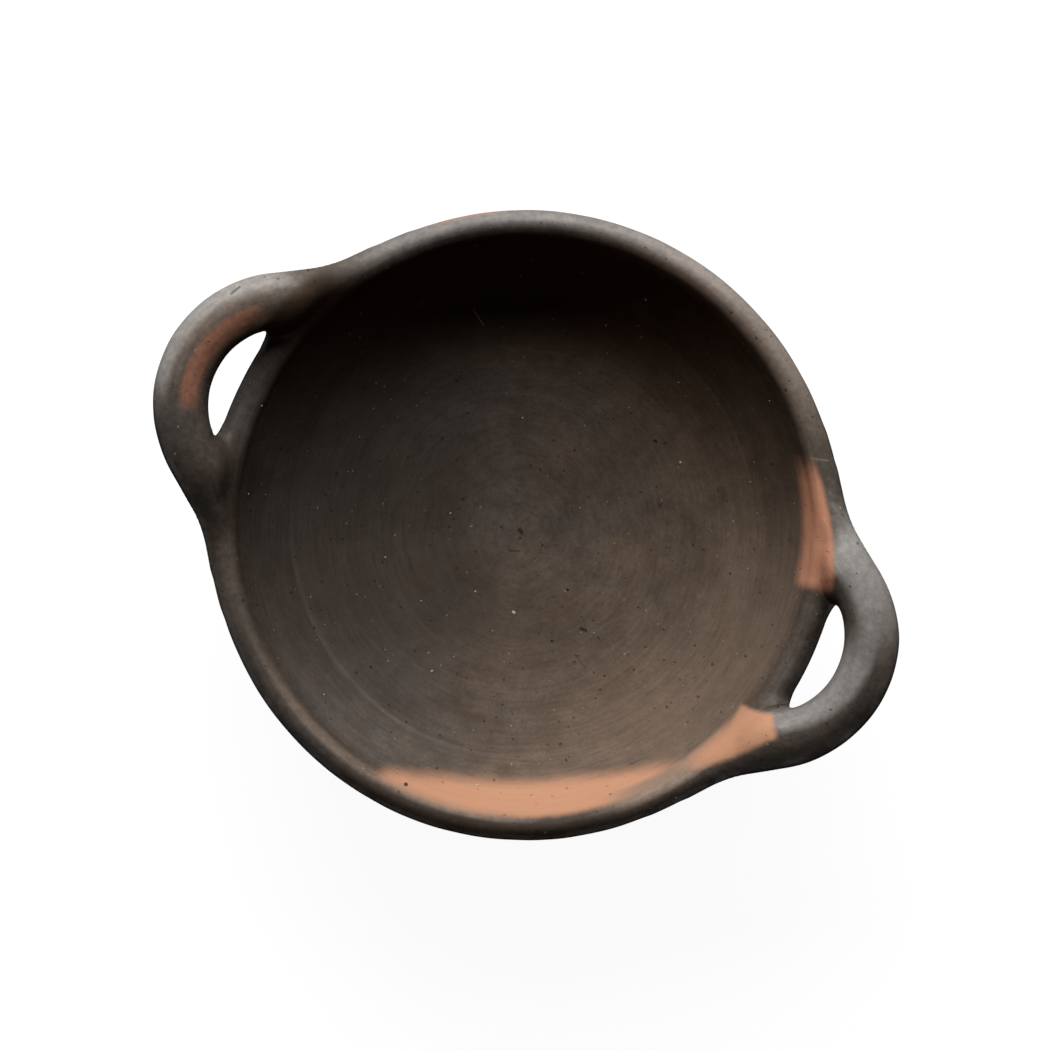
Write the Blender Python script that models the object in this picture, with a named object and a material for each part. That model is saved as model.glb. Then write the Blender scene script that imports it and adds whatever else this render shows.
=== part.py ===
"""Two-handled earthenware bowl, hand-built from separate pieces of clay and smoke-fired.

A floor pressed in a shallow mould carries a wall band, the wall carries a rounded rim coil, and two
loop handles stand on the rim. A root of clay, smeared over the rim, holds each end of a handle.

Metres, +Z up. The origin lies on the resting surface under the middle of the bowl, and the handles
lie along X.
"""

import math

import bmesh
import bpy
from mathutils import Vector

# Bowl
RIM_RADIUS = 0.0900        # middle of the bowl to the outer edge of the rim
RIM_WIDTH = 0.0080
RIM_DEPTH = 0.0095         # top of the rim down to its joint with the wall
RIM_CROWN = 0.0047         # height of the rounded top above the rim's widest line
RIM_FLARE = 0.0018         # how far the rim leans out past the top of the wall
BOWL_HEIGHT = 0.0560       # resting surface to the top of the rim
CREASE_RADIUS = 0.0682     # inner line where the floor meets the wall
CREASE_HEIGHT = 0.0255
FLOOR_THICKNESS = 0.0065   # at the middle
WALL_THICKNESS = 0.0068    # at the wall's foot
INSIDE_BULGE = 0.0012      # how far the wall bows out inside, between its foot and its top
OUTSIDE_BULGE = 0.0022     # how far the wall bows out outside
UNDERSIDE_BULGE = 0.0038   # how far the underside bows out between the foot and the wall
FOOT_RADIUS = 0.0280       # flattened resting spot

# Handles
HANDLE_REACH = 0.0230      # how far a handle reaches out past the rim
HANDLE_SKEW = math.radians(0.95)    # both handles sit this far off the X axis, towards +Y
LOOP_RADIUS = 0.0301       # middle line of the bent coil, seen from above
COIL_WIDTH = 0.0158
COIL_HEIGHT = 0.0150
COIL_LIFT = 0.0030         # middle of the coil above the rim, where the loop crosses the rim
HANDLE_RISE = 0.0030       # how much higher the coil stands at its outermost point
COIL_END_CLEARANCE = 0.0048         # from the rim's outer edge to the middle of the coil's end

# Roots of the handles
ROOT_RUN = 0.0309          # from the coil's end, along the rim, to the tip of a root
ROOT_TIP_WIDTH = 0.0072
ROOT_TIP_SINK = 0.0010     # the tip runs out this far below the top of the rim
ROOT_SKIRT = 0.0110        # how far a root hangs below the top of the rim, on its outer side
ROOT_INSET = 0.0008        # a root stops this far short of the rim's inner edge
ROOT_SETTLE = 0.30         # share of a root's length in which the round coil becomes a saddle
ROOT_HOLLOW = 0.45         # from 0, a saddle as round as the coil, to 1, one that is all hollow

# Clearance between touching pieces
SEAM_GAP = 0.0003

# Fineness of the facets
TURN_SEGMENTS = 72
COIL_SIDES = 20
COIL_RINGS = 21
ROOT_RINGS = 10
CURVE_STEPS = 6
FLOOR_STEPS = 9
CROWN_STEPS = 12

SHARP_EDGE = math.radians(35.0)     # edges that turn more than this are shaded as edges
SAME_POINT = 1e-6          # points closer than this are one point

# Colour (linear) and roughness of the fired clay
FLOOR_CLAY = ((0.075, 0.060, 0.050), 0.62)
WALL_CLAY = ((0.068, 0.053, 0.043), 0.60)
RIM_CLAY = ((0.090, 0.076, 0.066), 0.48)
COIL_CLAY = ((0.085, 0.070, 0.060), 0.50)
ROOT_CLAY = ((0.120, 0.085, 0.066), 0.52)

# Worked out from the sizes above
RIM_INNER_RADIUS = RIM_RADIUS - RIM_WIDTH
RIM_WIDEST_HEIGHT = BOWL_HEIGHT - RIM_CROWN
RIM_JOINT_HEIGHT = BOWL_HEIGHT - RIM_DEPTH
WALL_TOP_OUTER = (RIM_RADIUS - RIM_FLARE, RIM_JOINT_HEIGHT)
WALL_TOP_INNER = (RIM_INNER_RADIUS - RIM_FLARE, RIM_JOINT_HEIGHT)
RIM_MIDDLE_RADIUS = RIM_RADIUS - RIM_WIDTH / 2
LOOP_CENTRE = RIM_RADIUS + HANDLE_REACH - COIL_WIDTH / 2 - LOOP_RADIUS


def start_empty():
    """Remove every object that the scene holds."""
    for thing in list(bpy.data.objects):
        bpy.data.objects.remove(thing, do_unlink=True)


def fired_clay(name, clay):
    """Material of one piece: dull fired clay of the given colour and roughness."""
    colour, roughness = clay
    material = bpy.data.materials.new(name)
    material.use_nodes = True
    shader = material.node_tree.nodes["Principled BSDF"]
    shader.inputs["Base Color"].default_value = (*colour, 1.0)
    shader.inputs["Roughness"].default_value = roughness
    shader.inputs["Metallic"].default_value = 0.0
    return material


def add_piece(name, mesh_builder, clay):
    """Turn a bmesh into a named object with outward faces and smooth shading."""
    bmesh.ops.recalc_face_normals(mesh_builder, faces=mesh_builder.faces)
    mesh = bpy.data.meshes.new(name)
    mesh_builder.to_mesh(mesh)
    mesh_builder.free()
    mesh.shade_smooth()
    mesh.set_sharp_from_angle(angle=SHARP_EDGE)
    piece = bpy.data.objects.new(name, mesh)
    bpy.context.collection.objects.link(piece)
    if clay:
        mesh.materials.append(fired_clay(name + "_clay", clay))
    return piece


def bowed_line(start, end, bulge, steps):
    """Points from start to end on a shallow curve that bows to the right of the way by bulge."""
    run = (end[0] - start[0], end[1] - start[1])
    length = math.hypot(*run)
    side = (run[1] / length, -run[0] / length)
    points = []
    for step in range(steps + 1):
        part = step / steps
        bow = bulge * 4.0 * part * (1.0 - part)
        points.append((start[0] + run[0] * part + side[0] * bow,
                       start[1] + run[1] * part + side[1] * bow))
    return points


def moved(point, direction, distance):
    """The point moved along a direction given as an angle above the outward axis."""
    return (point[0] + math.cos(direction) * distance,
            point[1] + math.sin(direction) * distance)


def floor_sphere():
    """Radius and centre height of the sphere that the floor's upper face lies on."""
    depth = CREASE_HEIGHT - FLOOR_THICKNESS
    radius = (CREASE_RADIUS ** 2 + depth ** 2) / (2.0 * depth)
    return radius, FLOOR_THICKNESS + radius


def seam_slope():
    """Slope of the clay at the crease, midway between the floor's and the wall's."""
    floor_slope = math.asin(CREASE_RADIUS / floor_sphere()[0])
    wall_slope = math.atan2(WALL_TOP_INNER[1] - CREASE_HEIGHT, WALL_TOP_INNER[0] - CREASE_RADIUS)
    return (floor_slope + wall_slope) / 2.0


def seam_ends():
    """Inner and outer end of the seam between the floor and the wall, square to the clay."""
    inner = (CREASE_RADIUS, CREASE_HEIGHT)
    outer = moved(inner, seam_slope() - math.pi / 2.0, WALL_THICKNESS)
    return inner, outer


def wall_outside():
    """Outer side of the wall, from its foot up."""
    foot = moved(seam_ends()[1], seam_slope(), SEAM_GAP)
    return bowed_line(foot, WALL_TOP_OUTER, OUTSIDE_BULGE, CURVE_STEPS)


def rim_top(clearance=0.0):
    """Rounded top of the rim, from the inner side over the crown to the outer side."""
    half_width = RIM_WIDTH / 2.0 + clearance
    crown = RIM_CROWN + clearance
    points = []
    for step in range(CROWN_STEPS + 1):
        angle = math.pi * (1.0 - step / CROWN_STEPS)
        points.append((RIM_MIDDLE_RADIUS + half_width * math.cos(angle),
                       RIM_WIDEST_HEIGHT + crown * math.sin(angle)))
    return points


def turned(name, profile, clay):
    """A closed profile turned round the Z axis. Points on the axis close the middle."""
    builder = bmesh.new()
    corners = [builder.verts.new((radius, 0.0, height)) for radius, height in profile]
    edges = [builder.edges.new(pair) for pair in zip(corners, corners[1:] + corners[:1])]
    bmesh.ops.spin(builder, geom=corners + edges, cent=(0.0, 0.0, 0.0), axis=(0.0, 0.0, 1.0),
                   angle=2.0 * math.pi, steps=TURN_SEGMENTS, use_merge=True)
    bmesh.ops.remove_doubles(builder, verts=builder.verts, dist=SAME_POINT)
    on_axis = [edge for edge in builder.edges if not edge.link_faces]
    bmesh.ops.delete(builder, geom=on_axis, context="EDGES")
    return add_piece(name, builder, clay)


def make_floor_dish():
    """Moulded floor: a shallow dish with a flattened resting spot."""
    radius, centre_height = floor_sphere()
    edge_angle = math.asin(CREASE_RADIUS / radius)
    profile = []
    for step in range(FLOOR_STEPS + 1):
        angle = edge_angle * step / FLOOR_STEPS
        profile.append((radius * math.sin(angle), centre_height - radius * math.cos(angle)))
    foot_edge = (FOOT_RADIUS, 0.0)
    profile += bowed_line(foot_edge, seam_ends()[1], UNDERSIDE_BULGE, FLOOR_STEPS)[::-1]
    profile.append((0.0, 0.0))
    return turned("floor_dish", profile, FLOOR_CLAY)


def make_wall_band():
    """Wall band, from the crease up to the rim's joint."""
    foot = moved(seam_ends()[0], seam_slope(), SEAM_GAP)
    inside = bowed_line(foot, WALL_TOP_INNER, INSIDE_BULGE, CURVE_STEPS)
    profile = inside + wall_outside()[::-1]
    return turned("wall_band", profile, WALL_CLAY)


def make_rim_coil():
    """Rounded rim that leans a little outwards from the top of the wall."""
    joint = RIM_JOINT_HEIGHT + SEAM_GAP
    profile = [(WALL_TOP_INNER[0], joint)] + rim_top() + [(WALL_TOP_OUTER[0], joint)]
    return turned("rim_coil", profile, RIM_CLAY)


def make_seat_cutter():
    """The rim and the outside of the wall grown by the seam gap, and all that they enclose."""
    well_radius = RIM_INNER_RADIUS + ROOT_INSET
    above = BOWL_HEIGHT + COIL_LIFT + HANDLE_RISE + COIL_HEIGHT
    crown = [point for point in rim_top(SEAM_GAP) if point[0] > well_radius]
    outside = [(radius + SEAM_GAP, height) for radius, height in wall_outside()[::-1]]
    profile = [(0.0, above), (well_radius, above), (well_radius, crown[0][1])]
    profile += crown + outside + [(0.0, outside[-1][1])]
    cutter = turned("seat_cutter", profile, None)
    cutter.hide_render = True
    cutter.display_type = "WIRE"
    return cutter


def placed(forward, sideways, height, azimuth):
    """A point out along a handle's middle and to its side, in the bowl's frame."""
    return (forward * math.cos(azimuth) - sideways * math.sin(azimuth),
            forward * math.sin(azimuth) + sideways * math.cos(azimuth),
            height)


def coil_height_at(loop_angle):
    """Height of the coil's middle line, on a loop that rises evenly outwards."""
    return BOWL_HEIGHT + COIL_LIFT + HANDLE_RISE * math.cos(loop_angle)


def swept(name, rings, clay):
    """A skin over rings of points, closed by a flat face at each end."""
    builder = bmesh.new()
    loops = [[builder.verts.new(point) for point in ring] for ring in rings]
    sides = len(rings[0])
    for near, far in zip(loops, loops[1:]):
        for index in range(sides):
            after = (index + 1) % sides
            builder.faces.new((near[index], near[after], far[after], far[index]))
    builder.faces.new(loops[0])
    builder.faces.new(loops[-1])
    return add_piece(name, builder, clay)


def coil_sweep():
    """Half of the loop's turn, from its outermost point to where the coil ends beside the rim."""
    end_radius = RIM_RADIUS + COIL_END_CLEARANCE
    spread = end_radius ** 2 - LOOP_CENTRE ** 2 - LOOP_RADIUS ** 2
    return math.acos(spread / (2.0 * LOOP_CENTRE * LOOP_RADIUS))


def joint_turn():
    """Half the turn that the seam gap takes at the inner side of the loop."""
    return SEAM_GAP / (2.0 * (LOOP_RADIUS - COIL_WIDTH / 2.0))


def make_handle(name, azimuth):
    """Coil of clay bent to a loop, between its two roots."""
    sweep = coil_sweep() - joint_turn()
    rings = []
    for step in range(COIL_RINGS + 1):
        loop_angle = sweep * (2.0 * step / COIL_RINGS - 1.0)
        ring = []
        for side in range(COIL_SIDES):
            turn = 2.0 * math.pi * side / COIL_SIDES
            radius = LOOP_RADIUS + COIL_WIDTH / 2.0 * math.cos(turn)
            height = coil_height_at(loop_angle) + COIL_HEIGHT / 2.0 * math.sin(turn)
            ring.append(placed(LOOP_CENTRE + radius * math.cos(loop_angle),
                               radius * math.sin(loop_angle), height, azimuth))
        rings.append(ring)
    return swept(name, rings, COIL_CLAY)


def mixed(first, second, share):
    """A value the given share of the way from the first to the second."""
    return first + (second - first) * share


def eased(share):
    """A share from 0 to 1 that starts and ends gently."""
    share = min(max(share, 0.0), 1.0)
    return share * share * (3.0 - 2.0 * share)


def root_path(part):
    """Middle line of a root from above: its point, and its direction away from the bowl.

    It leaves the coil in the coil's own direction and bends until it runs along the rim.
    """
    start_angle = coil_sweep() + joint_turn()
    start = Vector((LOOP_CENTRE + LOOP_RADIUS * math.cos(start_angle),
                    LOOP_RADIUS * math.sin(start_angle)))
    start_way = Vector((-math.sin(start_angle), math.cos(start_angle)))
    tip_turn = math.atan2(start.y, start.x) + ROOT_RUN / RIM_MIDDLE_RADIUS
    outward_at_tip = Vector((math.cos(tip_turn), math.sin(tip_turn)))
    tip = outward_at_tip * RIM_MIDDLE_RADIUS
    tip_way = Vector((-outward_at_tip.y, outward_at_tip.x))
    pull = (tip - start).length / 3.0
    corners = (start, start + start_way * pull, tip - tip_way * pull, tip)
    rest = 1.0 - part
    point = (corners[0] * rest ** 3 + corners[1] * 3.0 * rest ** 2 * part
             + corners[2] * 3.0 * rest * part ** 2 + corners[3] * part ** 3)
    way = ((corners[1] - corners[0]) * rest ** 2 + (corners[2] - corners[1]) * 2.0 * rest * part
           + (corners[3] - corners[2]) * part ** 2).normalized()
    return point, Vector((way.y, -way.x))


def width_to_rim_edge(point, outward):
    """Distance from a point of a root's middle line, inwards, to the rim's inner edge."""
    edge = RIM_INNER_RADIUS + ROOT_INSET
    along = point.dot(outward)
    return along - math.sqrt(edge ** 2 - point.length_squared + along ** 2)


def root_ring(part, azimuth, side):
    """Outline of a root, part of the way from the coil's end (0) to its tip on the rim (1)."""
    point, outward = root_path(part)
    settled = eased(part / ROOT_SETTLE)
    coil_middle = coil_height_at(coil_sweep() + joint_turn())
    middle = mixed(coil_middle, RIM_WIDEST_HEIGHT, settled)
    top = mixed(coil_middle + COIL_HEIGHT / 2.0, BOWL_HEIGHT - ROOT_TIP_SINK, eased(part))
    bottom = mixed(coil_middle - COIL_HEIGHT / 2.0, BOWL_HEIGHT - ROOT_SKIRT, eased(part))
    outer_width = mixed(COIL_WIDTH / 2.0, ROOT_TIP_WIDTH / 2.0, eased(part))
    inner_width = mixed(COIL_WIDTH / 2.0, width_to_rim_edge(point, outward), settled)
    points = []
    for index in range(COIL_SIDES):
        turn = 2.0 * math.pi * index / COIL_SIDES
        inwards = max(-math.cos(turn), 0.0)
        across = math.cos(turn) * (inner_width if inwards else outer_width)
        if math.sin(turn) > 0.0:
            hollow = (1.0 + math.cos(math.pi * inwards)) / 2.0
            lift = mixed(math.sin(turn), hollow, settled * ROOT_HOLLOW if inwards else 0.0)
            height = mixed(middle, top, lift)
        else:
            height = mixed(middle, bottom, -math.sin(turn))
        spot = point + outward * across
        points.append(placed(spot.x, side * spot.y, height, azimuth))
    return points


def make_root(name, azimuth, side, seat_cutter):
    """Clay that leads a coil's end on to the rim: a saddle over the rim that tapers along it."""
    rings = [root_ring(step / ROOT_RINGS, azimuth, side) for step in range(ROOT_RINGS + 1)]
    root = swept(name, rings, ROOT_CLAY)
    cut = root.modifiers.new("rim_seat", "BOOLEAN")
    cut.operation = "DIFFERENCE"
    cut.solver = "EXACT"
    cut.object = seat_cutter
    return root


def main():
    """Build every piece of the bowl."""
    start_empty()
    make_floor_dish()
    make_wall_band()
    make_rim_coil()
    seat_cutter = make_seat_cutter()
    for hand, azimuth in (("right", HANDLE_SKEW), ("left", math.pi - HANDLE_SKEW)):
        make_handle(hand + "_handle", azimuth)
        for side in (-1.0, 1.0):
            towards_y = side * math.cos(azimuth)
            place = "rear" if towards_y > 0.0 else "front"
            make_root(f"{hand}_handle_{place}_root", azimuth, side, seat_cutter)


main()
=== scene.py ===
"""Dresses the two-handled smoke-fired bowl: hand-shaped clay, fire flashes, painted shade and highlights,
grit and a white studio.

Laid out as an add-on and run as a script. Metres, in the frame's own axes: +Z is up, the handles lie
along X, and the origin is on the resting surface under the middle of the bowl.
"""

import math
from collections import namedtuple

import bmesh
import bpy
import numpy as np
from bpy.props import FloatProperty, FloatVectorProperty, IntProperty, PointerProperty
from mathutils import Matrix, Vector, noise


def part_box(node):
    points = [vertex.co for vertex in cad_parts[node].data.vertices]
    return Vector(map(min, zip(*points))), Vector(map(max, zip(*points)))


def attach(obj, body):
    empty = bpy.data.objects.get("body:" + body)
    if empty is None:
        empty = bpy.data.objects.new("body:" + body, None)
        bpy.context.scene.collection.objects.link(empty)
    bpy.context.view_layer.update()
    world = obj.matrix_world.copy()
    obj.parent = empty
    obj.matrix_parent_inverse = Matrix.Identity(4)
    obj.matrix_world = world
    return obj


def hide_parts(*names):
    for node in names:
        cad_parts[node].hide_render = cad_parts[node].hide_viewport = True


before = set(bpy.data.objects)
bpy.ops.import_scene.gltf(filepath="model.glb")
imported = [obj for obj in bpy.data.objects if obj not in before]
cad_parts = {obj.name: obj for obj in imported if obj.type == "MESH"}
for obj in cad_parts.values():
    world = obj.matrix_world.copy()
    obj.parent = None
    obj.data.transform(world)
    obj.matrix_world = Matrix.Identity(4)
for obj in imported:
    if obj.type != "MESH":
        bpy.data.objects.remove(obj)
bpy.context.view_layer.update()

bl_info = {
    "name": "Smoke-fired bowl",
    "version": (1, 0, 0),
    "blender": (4, 5, 0),
    "location": "3D View > Sidebar > Pottery",
    "description": "Hand-shaped clay skins, fire flashes and grit for a two-handled bowl",
    "category": "Object",
}

BODY = "root"
MM = 0.001

# Places that the frame gives
_, FLOOR_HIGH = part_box("floor_dish")
WALL_LOW, WALL_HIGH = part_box("wall_band")
_, RIM_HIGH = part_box("rim_coil")

# Rows of the turned skin, stretch by stretch, from the middle of the floor over the rim to the foot
FLOOR_ROWS = 112
WALL_ROWS = 36
RIM_ROWS = 44
OUTSIDE_ROWS = 32
UNDERSIDE_ROWS = 44
FOOT_ROWS = 10
CREASE_ROW = FLOOR_ROWS
RIM_INNER_ROW = CREASE_ROW + WALL_ROWS
RIM_OUTER_ROW = RIM_INNER_ROW + RIM_ROWS
SEAM_ROW = RIM_OUTER_ROW + OUTSIDE_ROWS
LAST_ROW = SEAM_ROW + UNDERSIDE_ROWS + FOOT_ROWS

# Stations along a handle: a buried tip, a root, the coil, a root and a buried tip
TIP_STATIONS = 6
ROOT_STATIONS = 44
COIL_STATIONS = 76
FIRST_COIL_STATION = TIP_STATIONS + ROOT_STATIONS
LAST_COIL_STATION = FIRST_COIL_STATION + COIL_STATIONS
LAST_STATION = LAST_COIL_STATION + ROOT_STATIONS + TIP_STATIONS

# Points of the rim's section and of a saddle's line, and sides of the round stage
RIM_POINTS = 61
SADDLE_STATIONS = 21
STAGE_SIDES = 64

# Softening of the bowl's section
SOFTENING_ROUNDS = 6
SOFTENING_SHARE = 0.5

# Search for the surface of a joint, measured from every second row or station
SEARCH_STEPS = 7
LONGEST_STEP = 1.2 * MM
SLOPE_STEP = 0.02 * MM
SAME_POINT = 1e-6
COARSE_STEP = 2
JOINT_DEPTH = 12.0 * MM

# Shares of a root's length in which its inner side is drawn back and let out again
PINCH_START = 0.3
PINCH_END = 0.5

# Share of half a coil that keeps its girth, and of a saddle's length in which it rises
EVEN_COIL = 0.3
SADDLE_RISE = 0.4

# Start of the hand's drift and dents, and how fine they are, per metre
HAND_SEED = 7
DRIFT_FINENESS = 16.0
DENT_FINENESS = 70.0
SMALL_DENT_FINENESS = 150.0
SMALL_DENT_SHARE = 0.5

# Where the rim is pressed and spread between a handle's roots
PRESS_FADE = math.radians(8.0)
SPREAD_HALF_TURN = math.radians(15.0)
SPREAD_FADE = math.radians(7.0)
RIM_MARGIN = 3.0 * MM
RIM_FADE = 2.0 * MM

# Rings that smoothing left inside the bowl
RING_CENTRE = Vector((-0.4, -2.4, 0.0)) * MM
RING_FINENESS = 520.0
RING_ARC = 1.3
RING_FADE_ROWS = 8.0

# Sand grains on the skin: how many a square metre, their radii, their lowest place and their form
GRAINS = {"Density": 2000.0, "Smallest": 0.16 * MM, "Largest": 0.52 * MM, "Lowest": 2.0 * MM, "Seed": 7}
GRAIN_SKEW = 2.5
GRAIN_FLATNESS = 0.6


def length(name, description, default):
    """A size that a user can change."""
    return FloatProperty(name=name, description=description, default=default, unit="LENGTH", precision=5)


def angle(name, description, degrees):
    """An angle that a user can change."""
    return FloatProperty(name=name, description=description, default=math.radians(degrees), subtype="ANGLE")


def share(name, description, default):
    """A share from 0 to 1 that a user can change."""
    return FloatProperty(name=name, description=description, default=default, min=0.0, max=1.0,
                         subtype="FACTOR")


def colour(name, description, default):
    """A linear colour that a user can change."""
    return FloatVectorProperty(name=name, description=description, default=default, size=3, min=0.0,
                               max=1.0, subtype="COLOR")


class BowlSizes(bpy.types.PropertyGroup):
    """Sizes of the turned bowl."""

    turn_steps: IntProperty(name="Turn steps", description="Facets round the bowl", default=432, min=24)
    rim_radius: length("Rim radius", "Middle of the bowl to the rim's outer edge", RIM_HIGH.y)
    rim_width: length("Rim width", "Width of the rounded rim", 8.0 * MM)
    rim_crown: length("Rim crown", "Height of the rim's rounded top", 4.7 * MM)
    rim_flare: length("Rim flare", "How far the rim leans out past the wall", 1.8 * MM)
    height: length("Height", "Resting surface to the top of the rim", RIM_HIGH.z)
    joint_height: length("Joint height", "Height of the joint between wall and rim", WALL_HIGH.z)
    crease_radius: length("Crease radius", "Inner line where the floor meets the wall", 68.2 * MM)
    crease_height: length("Crease height", "Height of that line", FLOOR_HIGH.z)
    seam_radius: length("Seam radius", "Outer line where the floor meets the wall", FLOOR_HIGH.y)
    seam_height: length("Seam height", "Height of that outer line", WALL_LOW.z)
    floor_thickness: length("Floor thickness", "Clay under the middle of the floor", 6.5 * MM)
    foot_radius: length("Foot radius", "Flattened spot that the bowl rests on", 28.0 * MM)
    inside_bulge: length("Inside bulge", "How far the wall bows out inside", 1.2 * MM)
    outside_bulge: length("Outside bulge", "How far the wall bows out outside", 2.2 * MM)
    underside_bulge: length("Underside bulge", "How far the underside bows out", 3.8 * MM)
    drift: length("Hand drift", "Slow wander of the hand-built clay", 0.35 * MM)
    dent: length("Dents", "Depth of the finger dents", 0.12 * MM)
    ring_depth: length("Ring depth", "Depth of the smoothing rings inside", 0.06 * MM)
    rim_press: length("Rim press", "How far the rim is pressed down between a handle's roots", 0.9 * MM)
    ledge: length("Ledge", "How far the wall's lower edge stands out over the floor", 0.32 * MM)


class HandleSizes(bpy.types.PropertyGroup):
    """Sizes of the loop handles."""

    sides: IntProperty(name="Coil sides", description="Facets round a coil", default=72, min=12)
    reach: length("Reach", "Middle of the bowl to a handle's outermost point", 113.0 * MM)
    skew: angle("Skew", "Turn of both handles towards +Y", 0.95)
    loop_radius: length("Loop radius", "Middle line of the bent coil from above", 30.1 * MM)
    coil_width: length("Coil width", "Width of the rolled coil", 15.6 * MM)
    flatness: share("Flatness", "Height of the coil as a share of its width", 0.95)
    lift: length("Lift", "Middle of the coil above the rim where the loop crosses it", 3.0 * MM)
    rise: length("Rise", "How much higher the coil stands at its outermost point", 3.0 * MM)
    sweep: angle("Sweep", "Half of the loop's turn, up to the roots", 57.0)
    tip_turn: angle("Tip turn", "From the handle's middle round the bowl to a root's tip", 41.0)
    tip_width: length("Tip width", "Width of a root's tip, buried in the rim", 1.6 * MM)
    tip_depth: length("Tip depth", "Depth of that tip below the top of the rim", 5.0 * MM)
    fillet: length("Fillet", "Reach of the smeared fillet between coil and rim", 5.5 * MM)
    root_pinch: length("Root pinch", "How far a root's inner side is drawn back from the bowl", 3.4 * MM)
    corner_fillet: length("Corner fillet", "Reach of the fillet in the ends of a loop's hole", 10.0 * MM)
    corner_span: length("Corner span", "How far from such an end the longer fillet goes", 7.0 * MM)
    smear: length("Smear", "Reach of the joint between the rim and the clay smeared on it", 3.5 * MM)
    sink: length("Sink", "How deep a skin dives where the other piece's skin takes over", 1.5 * MM)
    saddle_start: angle("Saddle start", "Turn from the handle's middle to the clay smeared on the rim", 9.0)
    saddle_end: angle("Saddle end", "Turn to where that clay runs out", 34.0)
    saddle_radius: length("Saddle radius", "Middle of the bowl to that of the smeared clay", 88.0 * MM)
    saddle_width: length("Saddle width", "Width of the smeared clay", 7.4 * MM)
    saddle_height: length("Saddle height", "How far it stands above the rim", 1.0 * MM)


class ClayColours(bpy.types.PropertyGroup):
    """Linear colours of the fired clay, and of its painted shade and highlights."""

    soot: colour("Soot", "Most heavily smoked clay", (0.050, 0.038, 0.030))
    brown: colour("Brown", "Smoked clay on the fire's warmer side", (0.122, 0.088, 0.065))
    ash: colour("Ash", "Smoked clay with a grey bloom", (0.096, 0.083, 0.074))
    sheen: colour("Sheen", "Rubbed rim and handles", (0.066, 0.054, 0.045))
    # Painted shade: darkens what lies in shadow, the rear wall under the rim, the left rear root and the
    # front of the rim's outer side
    char: colour("Painted shade", "Blackened clay of the rear wall", (0.034, 0.016, 0.006))
    flash: colour("Flash", "Clay that the flame touched", (0.485, 0.252, 0.154))
    ember: colour("Ember", "Redder clay that the flame touched", (0.540, 0.252, 0.156))
    # Painted highlight: a light grey sheen on the lit flanks of the rim and the loops, and on the lit edge
    # between floor and wall
    painted_highlight: colour("Painted highlight", "Grey where the clay is rubbed most", (0.320, 0.302, 0.285))
    # Blush is partly the clay's own tan and partly painted light on the lit right of the wall and the lit
    # inner edge of the front rim
    blush_and_highlight: colour("Blush and highlight", "Tan where the smoke is thin", (0.250, 0.180, 0.134))
    flush: colour("Flush", "Brick red under the smoke", (0.250, 0.112, 0.070))
    grain: colour("Grain", "Pale sand in the clay", (0.500, 0.420, 0.330))
    pit: colour("Pit", "Inside of a pit", (0.018, 0.013, 0.010))


class StudioSettings(bpy.types.PropertyGroup):
    """Camera and light of the white studio."""

    photo_turn: angle("Picture turn", "Turn of the camera about the view from above", 25.4)
    camera_height: length("Camera height", "Camera above the top of the rim", 1.2)
    frame_width: length("Frame width", "Width of the picture at the top of the rim", 0.2985)
    key_turn: angle("Key turn", "Turn of the soft light to the left of the picture's top", 4.0)
    key_elevation: angle("Key elevation", "Height of the soft light's middle", 32.0)
    key_distance: length("Key distance", "Bowl to the soft light", 1.0)
    key_width: length("Key width", "Width of the soft light", 0.9)
    key_height: length("Key height", "Height of the soft light", 0.8)
    key_power: FloatProperty(name="Key power", description="Power of the soft light", default=18.2,
                             unit="POWER")
    stage_radius: length("Stage radius", "Middle of the floor to the backdrop round it", 3.0)
    backdrop_height: length("Backdrop height", "Height of the pale backdrop", 0.9)
    fill: FloatProperty(name="Fill", description="Light from all round", default=0.015)
    floor_bounce: colour("Floor bounce", "Light that the floor throws back on the clay", (0.12, 0.12, 0.12))
    floor_glow: share("Floor glow", "How white the floor and the backdrop look", 0.95)


# Node trees

def add_node(tree, kind, inputs=None, **settings):
    """Add a node. Each input, by name or number, takes a value or the socket that feeds it."""
    made = tree.nodes.new(kind)
    for key, value in settings.items():
        setattr(made, key, value)
    for key, value in (inputs or {}).items():
        if isinstance(value, bpy.types.NodeSocket):
            tree.links.new(value, made.inputs[key])
        else:
            made.inputs[key].default_value = value
    return made


def calc(tree, operation, first, second=0.0, third=0.0, clamp=False):
    """Result of a Math node."""
    made = add_node(tree, "ShaderNodeMath", {0: first, 1: second, 2: third}, operation=operation,
                    use_clamp=clamp)
    return made.outputs[0]


def product(tree, first, *others):
    """Product of values."""
    for other in others:
        first = calc(tree, "MULTIPLY", first, other)
    return first


def vector_calc(tree, operation, first, second=(0.0, 0.0, 0.0), output="Vector"):
    """Result of a Vector Math node."""
    made = add_node(tree, "ShaderNodeVectorMath", {0: first, 1: second}, operation=operation)
    return made.outputs[output]


def ramp(tree, value, start, end, low=0.0, high=1.0):
    """A value that eases from low to high between start and end."""
    made = add_node(tree, "ShaderNodeMapRange",
                    {"Value": value, "From Min": start, "From Max": end, "To Min": low, "To Max": high},
                    interpolation_type="SMOOTHSTEP")
    return made.outputs[0]


def split(tree, vector):
    """The X, Y and Z of a vector."""
    return add_node(tree, "ShaderNodeSeparateXYZ", {0: vector}).outputs


def joined(tree, x, y, z):
    """A vector from its X, Y and Z."""
    return add_node(tree, "ShaderNodeCombineXYZ", {0: x, 1: y, 2: z}).outputs[0]


def blend(tree, factor, first, second, mode="MIX"):
    """Colour mixed from the first to the second."""
    made = add_node(tree, "ShaderNodeMix", {0: factor, 6: first, 7: second}, data_type="RGBA",
                    blend_type=mode, clamp_factor=True)
    return made.outputs[2]


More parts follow.
